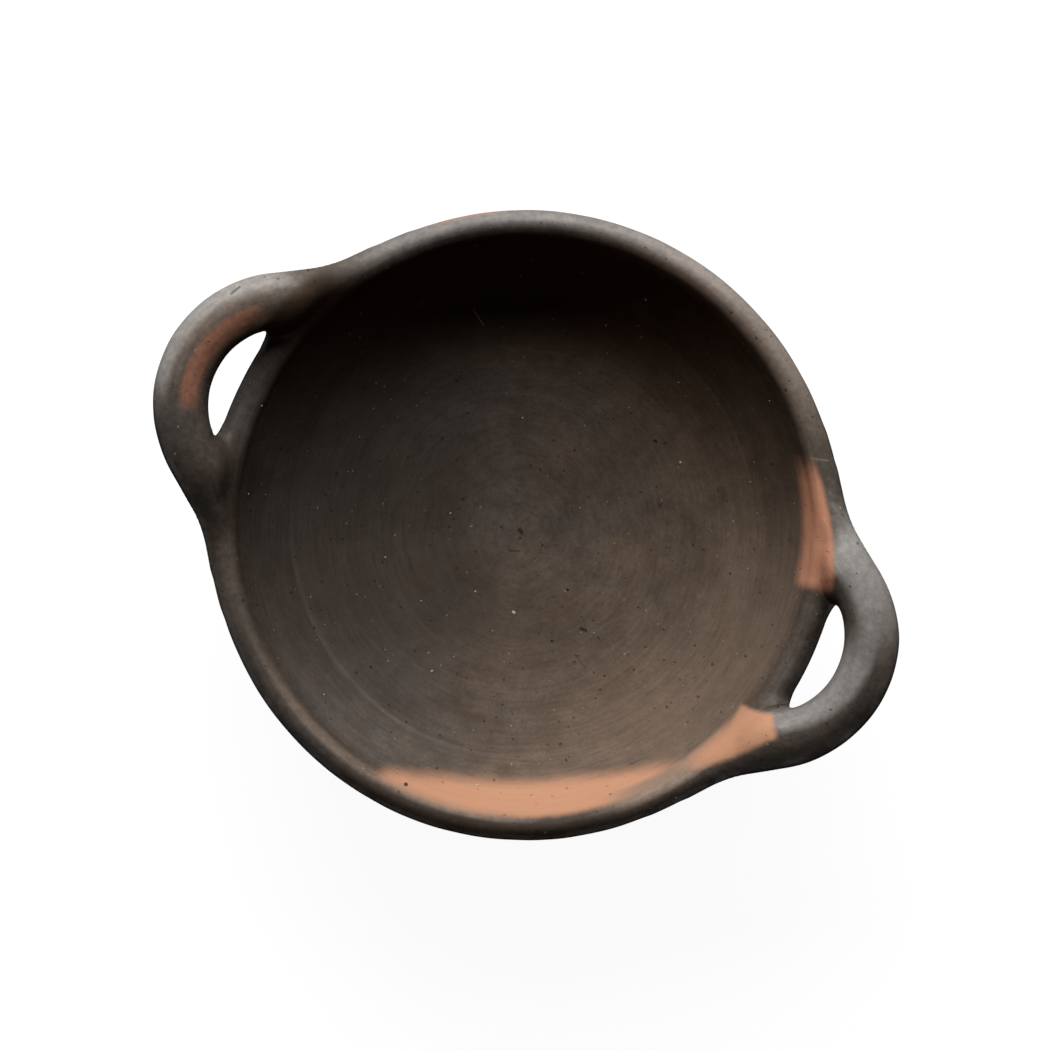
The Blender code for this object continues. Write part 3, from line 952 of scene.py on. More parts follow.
Flash = namedtuple("Flash", "tint strength centre facing half_turn start_soft end_soft inner soft outer "
                            "edge tilt straight", defaults=(0.0, 0.0))
FLASHES_AND_PAINTED_LIGHT = (
    # painted shade on the inside of the rear wall, which lies in the rim's shadow, and over the rim at the
    # left rear root, whose crotch lies in shade
    Flash("char", 0.73, MIDDLE, 114.0, 61.0, 36.0, 30.0, 53.0, 11.0, 83.2, 1.6),
    Flash("char", 0.76, MIDDLE, 160.0, 13.0, 8.0, 8.0, 80.0, 4.0, 92.6, 1.6),
    # darker on the left of the floor and round its middle
    Flash("soot", 0.62, MIDDLE, 208.0, 56.0, 35.0, 35.0, 14.0, 10.0, 69.0, 4.0),
    Flash("soot", 0.34, MIDDLE, 284.0, 50.0, 22.0, 22.0, 18.0, 7.0, 42.0, 9.0),
    # the wall's band, darker than the floor on the left and on the right
    Flash("soot", 0.50, MIDDLE, 203.0, 46.0, 20.0, 20.0, 68.6, 0.4, 82.0, 1.5),
    Flash("soot", 0.26, MIDDLE, 20.0, 35.0, 15.0, 15.0, 69.4, 0.6, 82.0, 1.5),
    # painted highlight along the lit edge between floor and wall
    Flash("painted_highlight", 0.06, MIDDLE, 240.0, 48.0, 15.0, 15.0, 67.5, 0.3, 68.5, 0.3),
    # painted light: the right of the wall, which faces the light, made lighter and tan
    Flash("blush_and_highlight", 0.21, MIDDLE, 343.0, 40.0, 22.0, 18.0, 56.0, 9.0, 82.0, 2.0),
    # on the inside of the front wall
    Flash("flash", 1.0, MIDDLE, 296.9, 32.0, 2.4, 6.0, 73.8, 2.6, 83.2, 1.1, 0.0, 0.6),
    # along the inner edge of the front rim, which faces the light: a pale band, partly wear and partly a
    # painted highlight, browner towards the right front root
    Flash("blush_and_highlight", 0.40, MIDDLE, 262.0, 30.0, 15.0, 10.0, 81.9, 0.8, 84.6, 0.9),
    Flash("blush_and_highlight", 0.90, MIDDLE, 327.0, 13.0, 6.0, 3.0, 80.8, 0.8, 86.0, 0.9),
    # painted shade on the front of the rim, whose outer side faces away from the light
    Flash("char", 0.45, MIDDLE, 290.0, 26.0, 14.0, 10.0, 84.3, 0.8, 95.0, 2.0),
    # thin smoke on the rim, brown at the right rear, and a grey painted highlight on the rim's lit outer
    # side at the rear
    Flash("blush_and_highlight", 0.60, MIDDLE, 70.0, 24.0, 14.0, 16.0, 81.8, 1.8, 95.0, 2.0),
    Flash("painted_highlight", 0.42, MIDDLE, 104.0, 44.0, 18.0, 14.0, 85.6, 1.8, 95.0, 2.0),
    Flash("blush_and_highlight", 0.18, MIDDLE, 212.0, 10.0, 6.0, 12.0, 83.5, 2.0, 95.0, 2.0),
    # darker round the left front root
    Flash("soot", 0.85, LEFT_LOOP, 250.0, 26.0, 14.0, 14.0, 18.0, 4.0, 40.0, 4.0),
    # on the outer edge of the rim
    Flash("ember", 0.3, MIDDLE, 126.5, 6.0, 2.5, 2.5, 89.0, 0.5, 95.0, 1.0),
    # brick red on the left loop's inner side; on its lit outer side tan, and a grey painted highlight
    Flash("flush", 0.92, LEFT_LOOP, 168.0, 36.0, 12.0, 8.0, 24.7, 1.3, 30.0, 1.3),
    Flash("blush_and_highlight", 0.36, LEFT_LOOP, 154.0, 38.0, 18.0, 18.0, 31.0, 2.0, 45.0, 2.0),
    Flash("painted_highlight", 0.66, LEFT_LOOP, 158.0, 42.0, 14.0, 12.0, 34.0, 1.4, 45.0, 2.0),
    # on the right loop, a grey painted highlight round its rear and on its lit inner side, and browner
    # outside
    Flash("painted_highlight", 0.78, RIGHT_LOOP, 52.0, 28.0, 26.0, 9.0, 26.0, 2.0, 45.0, 2.0),
    Flash("painted_highlight", 0.56, RIGHT_LOOP, 336.0, 46.0, 14.0, 18.0, 22.0, 1.6, 28.8, 1.4, 3.2),
    Flash("blush_and_highlight", 0.20, RIGHT_LOOP, 25.0, 25.0, 15.0, 15.0, 33.0, 1.5, 45.0, 2.0),
    # on the right front root, in two patches that meet
    Flash("flash", 1.0, MIDDLE, 337.6, 7.8, 4.5, 1.0, 81.4, 1.4, 88.4, 1.2, 28.6),
    Flash("flash", 1.0, RIGHT_ROOT, 281.4, 14.0, 3.0, 3.5, 17.8, 1.0, 24.7, 1.0),
    # on the rim beside the right rear root
    Flash("ember", 0.95, MIDDLE, 25.0, 11.8, 1.4, 4.0, 79.8, 1.4, 86.7, 1.0, -10.0),
)
# Tints that keep the clay matte: the fire's unsmoked flashes, and the painted shade
BARE_AND_SHADED_TINTS = ("flash", "ember", "char")

Mark = namedtuple("Mark", "tint strength start end width")
MARKS = (
    # a straw's print on the rear wall
    Mark("grain", 0.5, (-40.5, 50.3), (-36.0, 47.6), 0.35),
    # gouges and pits in the floor
    Mark("pit", 0.8, (28.0, -20.5), (29.6, -20.4), 0.9),
    Mark("pit", 0.7, (-0.9, -2.0), (0.1, -2.4), 1.3),
    Mark("pit", 0.5, (-0.9, -8.9), (2.0, -7.6), 0.6),
    Mark("pit", 0.4, (29.7, -28.2), (34.1, -30.3), 0.5),
    Mark("pit", 0.9, (19.5, -11.9), (19.7, -11.9), 0.9),
    Mark("pit", 0.9, (21.8, -27.5), (22.0, -27.5), 0.8),
    Mark("pit", 0.9, (23.8, 38.7), (24.4, 38.7), 0.9),
    # a pit in the pale patch of the front wall
    Mark("pit", 0.9, (0.9, -81.5), (1.2, -81.5), 1.0),
    # the largest grain
    Mark("grain", 1.0, (7.8, -24.6), (8.2, -24.7), 0.8),
    # a dent in the left loop
    Mark("pit", 0.6, (-102.7, 23.3), (-101.5, 26.1), 0.8),
    # the seam line across the rim
    Mark("grain", 0.16, (65.2, 52.0), (70.4, 53.6), 0.6),
)

# The fire was warmer on this side
WARM_WAY = Vector((math.cos(math.radians(15.0)), math.sin(math.radians(15.0)), 0.0))


# Noise in the clay: scale per metre, detail and roughness
SLOW_SMOKE = Cloud(15.0, 3.0)
PATCHY_SMOKE = Cloud(62.0, 3.0)
SOOT_SMOKE = Cloud(30.0, 4.0)
MIDDLE_SMOKE = Cloud(150.0, 5.0, 0.6)
FINE_SMOKE = Cloud(950.0, 3.0, 0.6)
SLOW_EDGE = Cloud(45.0, 2.0)
QUICK_EDGE = Cloud(350.0, 3.0, 0.6)
STREAKS = Cloud(1.0, 4.0, 0.62)
DRAGS = Cloud(1.0, 2.0)
GRIT_WANDER = Cloud(900.0, 2.0)
SPECKLE = Cloud(480.0, 4.0, 0.7)
SKIN = Cloud(120.0, 6.0, 0.70)
FINE_SKIN = Cloud(1500.0, 3.0, 0.6)
LUMPS = Cloud(260.0, 3.0, 0.55)
DUST = Cloud(700.0, 2.0)

# Spans that a value eases over, and what it eases between where that is not 0 and 1
WARM_SPAN = (-0.075, 0.065)
SOOT_SPAN = (0.45, 0.70)
MIDDLE_SPAN = (0.30, 0.70, 0.86, 1.14)
FINE_SPAN = (0.30, 0.70, 0.91, 1.09)
DRAG_SPAN = (0.62, 0.72)
RUBBED_SPAN = (43.0 * MM, 52.0 * MM)
STREAK_SPAN = (0.25, 0.75, 0.89, 1.11)
SPECKLE_SPAN = (0.35, 0.65, 0.88, 1.12)
POLISH_SPAN = (0.80, 1.20, 0.20, 0.60)
DUST_SPAN = (0.35, 0.65)

# How much a surface faces up where flashes, grit and polish begin and are whole
FLASH_UP = (-0.05, 0.20)
GRIT_UP = (0.2, 0.5)
POLISH_UP = (0.25, 0.75)

# What rubbing does to the streaks, the drags and the roughness, and unsmoked clay and painted shade to the
# pits
STREAK_FADE = (0.0, 1.0, 1.0, 0.45)
DRAG_FADE = (0.0, 0.2, 0.20, 0.0)
DULLNESS = (0.0, 1.0, 0.72, 0.44)
PIT_FADE = (0.0, 1.0, 0.6, 0.3)

# Shares of the smoke's, the edges' and the skin's effects
SMOKE_WANDER = 0.14
SOOT_SHARE = 0.35
QUICK_SHARE = 0.35
RUBBED_BROWN = 0.85
BARE_AND_SHADED_STREAKS = 0.3
BARE_AND_SHADED_MATTE = 0.85
SPECK_SHARE = 0.35
ROUGHNESS_WANDER = 0.35
COAT_ROUGHNESS = 0.52
SAND_ROUGHNESS = 0.55

# Streaks, pits, specks and single marks
SOOT_SHIFT = (3.1, 1.7, 0.4)
RUBBED_RINGS = {"Fineness": 700.0, "Arc": 3.0}
RISE_SHARE = 0.6
DRAG_STRETCH = (1.6, 3.5, 3.5)
PITS = {"Scale": 300.0, "Share": 0.22, "Size": 0.15}
SPECKS = {"Scale": 420.0, "Share": 0.05, "Size": 0.14}
GRIT_SHIFT = (1.2 * MM, 1.2 * MM, 0.0)
SMALLEST_GRIT = 0.3
GRIT_CORE = 0.5
MARK_CORE = 0.25
MARK_EDGE = 0.6

# Relief of the skin
RING_RELIEF = 0.9
FINE_RELIEF = 0.45
LUMP_RELIEF = 1.6
PIT_RELIEF = -0.9
BUMP = {"Strength": 0.7, "Distance": 0.16 * MM}


# Shader groups

def smoke_group():
    """Cloudy smoked clay: soot, brown and ash in slow clouds, browner on the fire's warm side."""
    tree, given, result = new_group(
        "Smoke clouds", [("Place", "Vector"), ("Soot", "Color"), ("Brown", "Color"), ("Ash", "Color")],
        [("Colour", "Color")])
    place = given["Place"]
    across = vector_calc(tree, "DOT_PRODUCT", place, tuple(WARM_WAY), "Value")
    for kind in (SLOW_SMOKE, PATCHY_SMOKE):
        across = calc(tree, "MULTIPLY_ADD", wavering(tree, place, kind), SMOKE_WANDER, across)
    base = blend(tree, ramp(tree, across, *WARM_SPAN), given["Ash"], given["Brown"])
    patch = ramp(tree, cloud(tree, vector_calc(tree, "ADD", place, SOOT_SHIFT), SOOT_SMOKE), *SOOT_SPAN)
    smoked = blend(tree, product(tree, patch, SOOT_SHARE), base, given["Soot"])
    for kind, span in ((MIDDLE_SMOKE, MIDDLE_SPAN), (FINE_SMOKE, FINE_SPAN)):
        smoked = toned(tree, smoked, ramp(tree, cloud(tree, place, kind), *span))
    tree.links.new(smoked, result["Colour"])


def flash_and_painted_light_group():
    """Mask of a patch round a centre, between two radii and within a turn of its facing."""
    labels = ("Facing", "Half Turn", "Start Soft", "End Soft", "Inner", "Soft", "Outer", "Edge", "Tilt",
              "Straight")
    tree, given, result = new_group(
        "Flash and painted light patch", [("Place", "Vector"), ("Normal", "Vector"), ("Centre", "Vector"),
                       *((label, "Float") for label in labels)],
        [("Mask", "Float")])
    place = given["Place"]
    ragged = calc(tree, "MULTIPLY_ADD", wavering(tree, place, QUICK_EDGE), QUICK_SHARE,
                  wavering(tree, place, SLOW_EDGE))
    spot = split(tree, vector_calc(tree, "SUBTRACT", place, given["Centre"]))
    radius = plan_radius(tree, spot)
    turn = calc(tree, "SUBTRACT", calc(tree, "ARCTAN2", spot[1], spot[0]), given["Facing"])
    turn = calc(tree, "WRAP", turn, math.pi, -math.pi)
    level = product(tree, radius, calc(tree, "COSINE", turn))
    depth = add_node(tree, "ShaderNodeMix", {0: given["Straight"], 2: radius, 3: level},
                     data_type="FLOAT").outputs[0]
    depth = calc(tree, "MULTIPLY_ADD", ragged, given["Soft"], depth)
    inner = step_at(tree, depth, given["Inner"], given["Soft"])
    brink = calc(tree, "MULTIPLY_ADD", ragged, given["Edge"], radius)
    brink = calc(tree, "SUBTRACT", brink, product(tree, given["Tilt"], turn))
    outer = step_at(tree, brink, given["Outer"], given["Edge"], 1.0, 0.0)
    mask = product(tree, inner, outer, facing_up(tree, given["Normal"], *FLASH_UP))
    for side, soft in ((-1.0, given["Start Soft"]), (1.0, given["End Soft"])):
        aside = calc(tree, "MULTIPLY_ADD", ragged, soft, product(tree, turn, side))
        mask = product(tree, mask, step_at(tree, aside, given["Half Turn"], soft, 1.0, 0.0))
    tree.links.new(mask, result["Mask"])


def ring_group():
    """Streaks that run round a centre, as a rubbing hand or a smoothing pebble leaves them."""
    tree, given, result = new_group(
        "Rubbed rings", [("Place", "Vector"), ("Centre", "Vector"), ("Fineness", "Float"),
                         ("Arc", "Float")],
        [("Height", "Float"), ("Drag", "Float")])
    spot = split(tree, vector_calc(tree, "SUBTRACT", given["Place"], given["Centre"]))
    turn = calc(tree, "ARCTAN2", spot[1], spot[0])
    outward = calc(tree, "MULTIPLY_ADD", spot[2], RISE_SHARE, plan_radius(tree, spot))
    wrapped = joined(tree, product(tree, outward, given["Fineness"]),
                     product(tree, calc(tree, "COSINE", turn), given["Arc"]),
                     product(tree, calc(tree, "SINE", turn), given["Arc"]))
    tree.links.new(cloud(tree, wrapped, STREAKS), result["Height"])
    drag = cloud(tree, vector_calc(tree, "MULTIPLY", wrapped, DRAG_STRETCH), DRAGS)
    tree.links.new(ramp(tree, drag, *DRAG_SPAN), result["Drag"])


def grit_group():
    """Scattered uneven spots, such as pits or grains, of random size, on what faces up."""
    tree, given, result = new_group(
        "Grit", [("Place", "Vector"), ("Normal", "Vector"), ("Scale", "Float"), ("Share", "Float"),
                 ("Size", "Float")],
        [("Mask", "Float")])
    wander = cloud(tree, given["Place"], GRIT_WANDER, "Color")
    shift = vector_calc(tree, "SUBTRACT", wander, (0.5, 0.5, 0.5))
    shifted = vector_calc(tree, "ADD", given["Place"], vector_calc(tree, "MULTIPLY", shift, GRIT_SHIFT))
    cells = add_node(tree, "ShaderNodeTexVoronoi", {"Vector": shifted, "Scale": given["Scale"]},
                     voronoi_dimensions="2D")
    chance = split(tree, cells.outputs["Color"])
    size = calc(tree, "MULTIPLY_ADD", chance[1], 1.0 - SMALLEST_GRIT, SMALLEST_GRIT)
    size = product(tree, given["Size"], size)
    spot = ramp(tree, cells.outputs["Distance"], product(tree, size, GRIT_CORE), size, 1.0, 0.0)
    present = calc(tree, "LESS_THAN", chance[0], given["Share"])
    shown = facing_up(tree, given["Normal"], *GRIT_UP)
    tree.links.new(product(tree, spot, present, shown), result["Mask"])


def mark_group():
    """Mask of a narrow mark between two places, seen from above."""
    tree, given, result = new_group(
        "Scratch mark", [("Place", "Vector"), ("Start", "Vector"), ("End", "Vector"), ("Width", "Float")],
        [("Mask", "Float")])
    level = vector_calc(tree, "MULTIPLY", given["Place"], (1.0, 1.0, 0.0))
    run = vector_calc(tree, "SUBTRACT", given["End"], given["Start"])
    away = vector_calc(tree, "SUBTRACT", level, given["Start"])
    part = calc(tree, "DIVIDE", vector_calc(tree, "DOT_PRODUCT", away, run, "Value"),
                vector_calc(tree, "DOT_PRODUCT", run, run, "Value"), clamp=True)
    nearest = vector_calc(tree, "MULTIPLY", run, joined(tree, part, part, part))
    gap = vector_calc(tree, "DISTANCE", away, nearest, "Value")
    core = product(tree, given["Width"], MARK_CORE)
    edge = product(tree, given["Width"], MARK_EDGE)
    tree.links.new(ramp(tree, gap, core, edge, 1.0, 0.0), result["Mask"])


def shader_groups():
    """Build the shared shader groups once."""
    if "Smoke clouds" not in bpy.data.node_groups:
        for build in (smoke_group, flash_and_painted_light_group, ring_group, grit_group, mark_group):
            build()


# Materials

def flat_place(place):
    """A place given in mm, on the resting surface."""
    return (*(Vector(place) * MM), 0.0)


def flashed_and_painted(tree, place, normal, base, colours):
    """Base colour with the fire's flashes, the painted shade and highlights and the single marks laid over
    it, and the mask of unsmoked flashes and painted shade.
    """
    bare_and_shaded = 0.0
    for flash in FLASHES_AND_PAINTED_LIGHT:
        mask = use_group(tree, "Flash and painted light patch", {
            "Place": place, "Normal": normal, "Centre": flat_place(flash.centre),
            "Facing": math.radians(flash.facing), "Half Turn": math.radians(flash.half_turn),
            "Start Soft": math.radians(flash.start_soft), "End Soft": math.radians(flash.end_soft),
            "Inner": flash.inner * MM, "Soft": flash.soft * MM, "Outer": flash.outer * MM,
            "Edge": flash.edge * MM, "Tilt": flash.tilt * MM, "Straight": flash.straight})["Mask"]
        amount = product(tree, mask, flash.strength)
        base = blend(tree, amount, base, opaque(getattr(colours, flash.tint)))
        if flash.tint in BARE_AND_SHADED_TINTS:
            bare_and_shaded = calc(tree, "MAXIMUM", bare_and_shaded, amount)
    for mark in MARKS:
        mask = use_group(tree, "Scratch mark", {
            "Place": place, "Start": flat_place(mark.start), "End": flat_place(mark.end),
            "Width": mark.width * MM})["Mask"]
        amount = product(tree, mask, mark.strength)
        base = blend(tree, amount, base, opaque(getattr(colours, mark.tint)))
    return base, bare_and_shaded


Skin = namedtuple("Skin", "place normal rubbed rings pits specks")


def clay_skin(tree, ring_centre):
    """What the clay's colour, gloss and relief share: places, rubbing, streaks, pits and specks."""
    place = add_node(tree, "ShaderNodeTexCoord").outputs["Object"]
    normal = add_node(tree, "ShaderNodeNewGeometry").outputs["Normal"]
    rubbed = ramp(tree, split(tree, place)[2], *RUBBED_SPAN)
    rings = use_group(tree, "Rubbed rings", {"Place": place, "Centre": ring_centre, **RUBBED_RINGS})
    pits, specks = (use_group(tree, "Grit", {"Place": place, "Normal": normal, **kind})["Mask"]
                    for kind in (PITS, SPECKS))
    return Skin(place, normal, rubbed, rings, pits, specks)


def clay_colour(tree, skin, colours):
    """Colour of the smoked clay with its flashes, painted shade and highlights, streaks, pits and specks,
    and the mask of unsmoked flashes and painted shade.
    """
    rubbed, sheen = skin.rubbed, opaque(colours.sheen)
    ash = blend(tree, rubbed, opaque(colours.ash), sheen)
    brown = blend(tree, product(tree, rubbed, RUBBED_BROWN), opaque(colours.brown), sheen)
    base = use_group(tree, "Smoke clouds", {
        "Place": skin.place, "Soot": opaque(colours.soot), "Brown": brown, "Ash": ash})["Colour"]
    base, bare_and_shaded = flashed_and_painted(tree, skin.place, skin.normal, base, colours)
    # Smoky is where the clay is neither an unsmoked flash nor under painted shade
    smoky = calc(tree, "SUBTRACT", 1.0, bare_and_shaded)
    streaked = toned(tree, base, ramp(tree, skin.rings["Height"], *STREAK_SPAN))
    shown = calc(tree, "MULTIPLY_ADD", smoky, 1.0 - BARE_AND_SHADED_STREAKS, BARE_AND_SHADED_STREAKS)
    base = blend(tree, product(tree, ramp(tree, rubbed, *STREAK_FADE), shown), base, streaked)
    mottled = toned(tree, base, ramp(tree, cloud(tree, skin.place, SPECKLE), *SPECKLE_SPAN))
    base = blend(tree, product(tree, rubbed, smoky), base, mottled)
    dragged = product(tree, skin.rings["Drag"], ramp(tree, rubbed, *DRAG_FADE), smoky)
    dark = calc(tree, "MAXIMUM", product(tree, skin.pits, ramp(tree, bare_and_shaded, *PIT_FADE)), dragged)
    base = blend(tree, dark, base, opaque(colours.pit))
    return blend(tree, product(tree, skin.specks, SPECK_SHARE), base, opaque(colours.grain)), bare_and_shaded


def clay_gloss(tree, skin, bare_and_shaded):
    """Roughness of the clay, and the weight of the coat that rubbing gave it."""
    patchy = cloud(tree, skin.place, SKIN)
    rough = calc(tree, "MULTIPLY_ADD", calc(tree, "SUBTRACT", patchy, 0.5), ROUGHNESS_WANDER,
                 ramp(tree, skin.rubbed, *DULLNESS))
    polish = ramp(tree, calc(tree, "ADD", patchy, skin.rings["Height"]), *POLISH_SPAN)
    # Unsmoked flashes and painted shade keep the coat's gloss off
    matte = calc(tree, "MULTIPLY_ADD", bare_and_shaded, -BARE_AND_SHADED_MATTE, 1.0)
    return rough, product(tree, skin.rubbed, facing_up(tree, skin.normal, *POLISH_UP), polish, matte)


def clay_relief(tree, skin):
    """Normal of the clay with its streaks, fine grain, lumps and pits."""
    relief = 0.0
    for height, amount in ((skin.rings["Height"], RING_RELIEF),
                           (cloud(tree, skin.place, FINE_SKIN), FINE_RELIEF),
                           (cloud(tree, skin.place, LUMPS), LUMP_RELIEF), (skin.pits, PIT_RELIEF)):
        relief = calc(tree, "MULTIPLY_ADD", height, amount, relief)
    return add_node(tree, "ShaderNodeBump", {"Height": relief, **BUMP}).outputs[0]


def clay_material(name, colours, ring_centre):
    """Smoked clay with flashes, painted shade and highlights, rubbing streaks, pits and pale grains, rubbed
    to a sheen at the top.
    """
    shader_groups()
    material, tree, shader = new_material(name)
    skin = clay_skin(tree, ring_centre)
    base, bare_and_shaded = clay_colour(tree, skin, colours)
    rough, coat = clay_gloss(tree, skin, bare_and_shaded)
    for socket, value in (("Base Color", base), ("Roughness", rough), ("Coat Weight", coat),
                          ("Normal", clay_relief(tree, skin))):
        tree.links.new(value, shader.inputs[socket])
    shader.inputs["Coat Roughness"].default_value = COAT_ROUGHNESS
    shader.inputs["Specular IOR Level"].default_value = 0.0
    return material


def loop_clay(hand, colours, sizes):
    """Finish of a handle, rubbed along its loop."""
    reach = sizes.reach - sizes.coil_width / 2.0 - sizes.loop_radius
    turn = handle_turn(hand, sizes)
    centre = Vector((reach * math.cos(turn), reach * math.sin(turn), 0.0))
    return clay_material(hand + "_loop_skin", colours, centre)


def sand_material(colours):
    """Finish of the pale sand grains."""
    material, tree, shader = new_material("sand")
    place = add_node(tree, "ShaderNodeTexCoord").outputs["Object"]
    shade = ramp(tree, cloud(tree, place, DUST), *DUST_SPAN)
    dusty = blend(tree, shade, opaque(colours.brown), opaque(colours.grain))
    tree.links.new(dusty, shader.inputs["Base Color"])
    shader.inputs["Roughness"].default_value = SAND_ROUGHNESS
    return material


def floor_material(studio):
    """Pale floor that looks white to the camera and in what reflects it, with the bowl's shadow on it."""
    material, tree, shader = new_material("pale_floor")
    tree.nodes.remove(shader)
    path = add_node(tree, "ShaderNodeLightPath").outputs
    seen = calc(tree, "MAXIMUM", path["Is Camera Ray"],
                calc(tree, "MAXIMUM", path["Is Glossy Ray"], path["Is Transmission Ray"]))
    matt = add_node(tree, "ShaderNodeBsdfDiffuse", {"Color": opaque(studio.floor_bounce)})
    glow = add_node(tree, "ShaderNodeEmission", {"Strength": product(tree, seen, studio.floor_glow)})
    both = add_node(tree, "ShaderNodeAddShader", {0: matt.outputs[0], 1: glow.outputs[0]})
    tree.links.new(both.outputs[0], tree.nodes["Material Output"].inputs["Surface"])
    return material


# Operators

class TurnBowl(bpy.types.Operator):
    """Turn the floor, the wall and the rim, and smear the handles' clay on the rim"""

    bl_idname = "pottery.turn_bowl"
    bl_label = "Turn the bowl"

    def execute(self, context):
        """Make the three turned pieces from one skin."""
        scene = context.scene
        bowl, handles = scene.bowl_sizes, scene.handle_sizes
        material = clay_material("bowl_skin", scene.clay_colours, RING_CENTRE)
        profile = bpy.data.meshes.new("bowl_profile")
        profile.from_pydata([(radius, 0.0, height) for radius, height in bowl_profile(bowl)], [], [])
        skin = grown("bowl_skin", profile, turned_clay_tree(),
                     {"Turn Steps": bowl.turn_steps, "Clay": material})
        skin.name = "bowl_skin"
        face_outward(skin)
        clay = Clay(bowl, handles)
        points, normals = read_points(skin), read_normals(skin)
        numbers = read_numbers(skin, "row")
        high = points[:, 2] > bowl.joint_height - JOINT_DEPTH
        points += normals * ring_relief(points, numbers, bowl)[:, None]
        spots = smeared(points[high], clay, handles.smear)
        points[high] = run_together(spots, clay.bowl, clay.handle, clay)
        write_points(skin, hand_shaped(points, bowl, handles))
        order = np.arctan2(points[:, 1], points[:, 0])
        rings = {row: ring_of(numbers, order, row)
                 for row in (CREASE_ROW, RIM_INNER_ROW, RIM_OUTER_ROW, SEAM_ROW)}
        seam = strip(rings[CREASE_ROW], rings[SEAM_ROW])
        joint = strip(rings[RIM_INNER_ROW], rings[RIM_OUTER_ROW])
        floor = cut_piece("pressed_floor", skin, ((0, CREASE_ROW), (SEAM_ROW, LAST_ROW)), seam, material)
        wall = cut_piece("drawn_wall", skin, ((CREASE_ROW, RIM_INNER_ROW), (RIM_OUTER_ROW, SEAM_ROW)),
                         seam + joint, material)
        rim = cut_piece("rounded_rim", skin, ((RIM_INNER_ROW, RIM_OUTER_ROW),), joint, material)
        hand_over(floor, "smoked_clay", "floor_dish")
        hand_over(wall, "smoked_clay", "wall_band")
        hand_over(rim, "rubbed_clay", "rim_coil")
        return {"FINISHED"}


class RollHandles(bpy.types.Operator):
    """Roll the two loop handles and lead their ends on to the rim"""

    bl_idname = "pottery.roll_handles"
    bl_label = "Roll the handles"

    def execute(self, context):
        """Make a coil and two roots for each hand from one swept skin."""
        scene = context.scene
        bowl, handles, colours = scene.bowl_sizes, scene.handle_sizes, scene.clay_colours
        clay = Clay(bowl, handles)
        tree = rolled_coil_tree()
        for hand in HANDS:
            path = handle_path(hand, bowl, handles)
            line = bpy.data.meshes.new(hand + "_path")
            line.from_pydata(path.centre, [], [])
            line.attributes.new("girth", "FLOAT", "POINT").data.foreach_set("value", path.girth)
            line.attributes.new("outward", "FLOAT_VECTOR", "POINT").data.foreach_set(
                "vector", path.outward.ravel())
            material = loop_clay(hand, colours, handles)
            skin = grown(hand + "_skin", line, tree, {
                "Sides": handles.sides, "Flatness": handles.flatness, "Clay": material})
            face_outward(skin)
            points, _ = grown_out(read_points(skin), clay.handle)
            points = run_together(points, clay.handle, clay.bowl, clay)
            write_points(skin, hand_shaped(points, bowl, handles))
            self.cut_handle(hand, skin, material)
        return {"FINISHED"}

    def cut_handle(self, hand, skin, material):
        """Cut one handle's skin into its coil and its two roots."""
        numbers, order = read_numbers(skin, "row"), read_numbers(skin, "column")
        near = [tuple(ring_of(numbers, order, FIRST_COIL_STATION))]
        far = [tuple(ring_of(numbers, order, LAST_COIL_STATION))]
        first, last = ("front", "rear") if hand == "right" else ("rear", "front")
        coil = cut_piece(hand + "_loop", skin, ((FIRST_COIL_STATION, LAST_COIL_STATION),), near + far,
                         material)
        hand_over(coil, "rubbed_clay", hand + "_handle")
        for place, span, end in ((first, (0, FIRST_COIL_STATION), near),
                                 (last, (LAST_COIL_STATION, LAST_STATION), far)):
            root = cut_piece(f"{hand}_{place}_smear", skin, (span,), end, material)
            hand_over(root, "rubbed_clay", f"{hand}_handle_{place}_root")


class ScatterSand(bpy.types.Operator):
    """Scatter the pale sand grains that show in the clay"""

    bl_idname = "pottery.scatter_sand"
    bl_label = "Scatter the sand"

    def execute(self, context):
        """Make the grains on the bowl's whole skin."""
        skin = bpy.data.meshes["bowl_skin"].copy()
        sand = sand_material(context.scene.clay_colours)
        grains = grown("sand_grains", skin, sand_grain_tree(), {**GRAINS, "Sand": sand})
        face_outward(grains)
        hand_over(linked("sand_grains", grains), "smoked_clay")
        return {"FINISHED"}


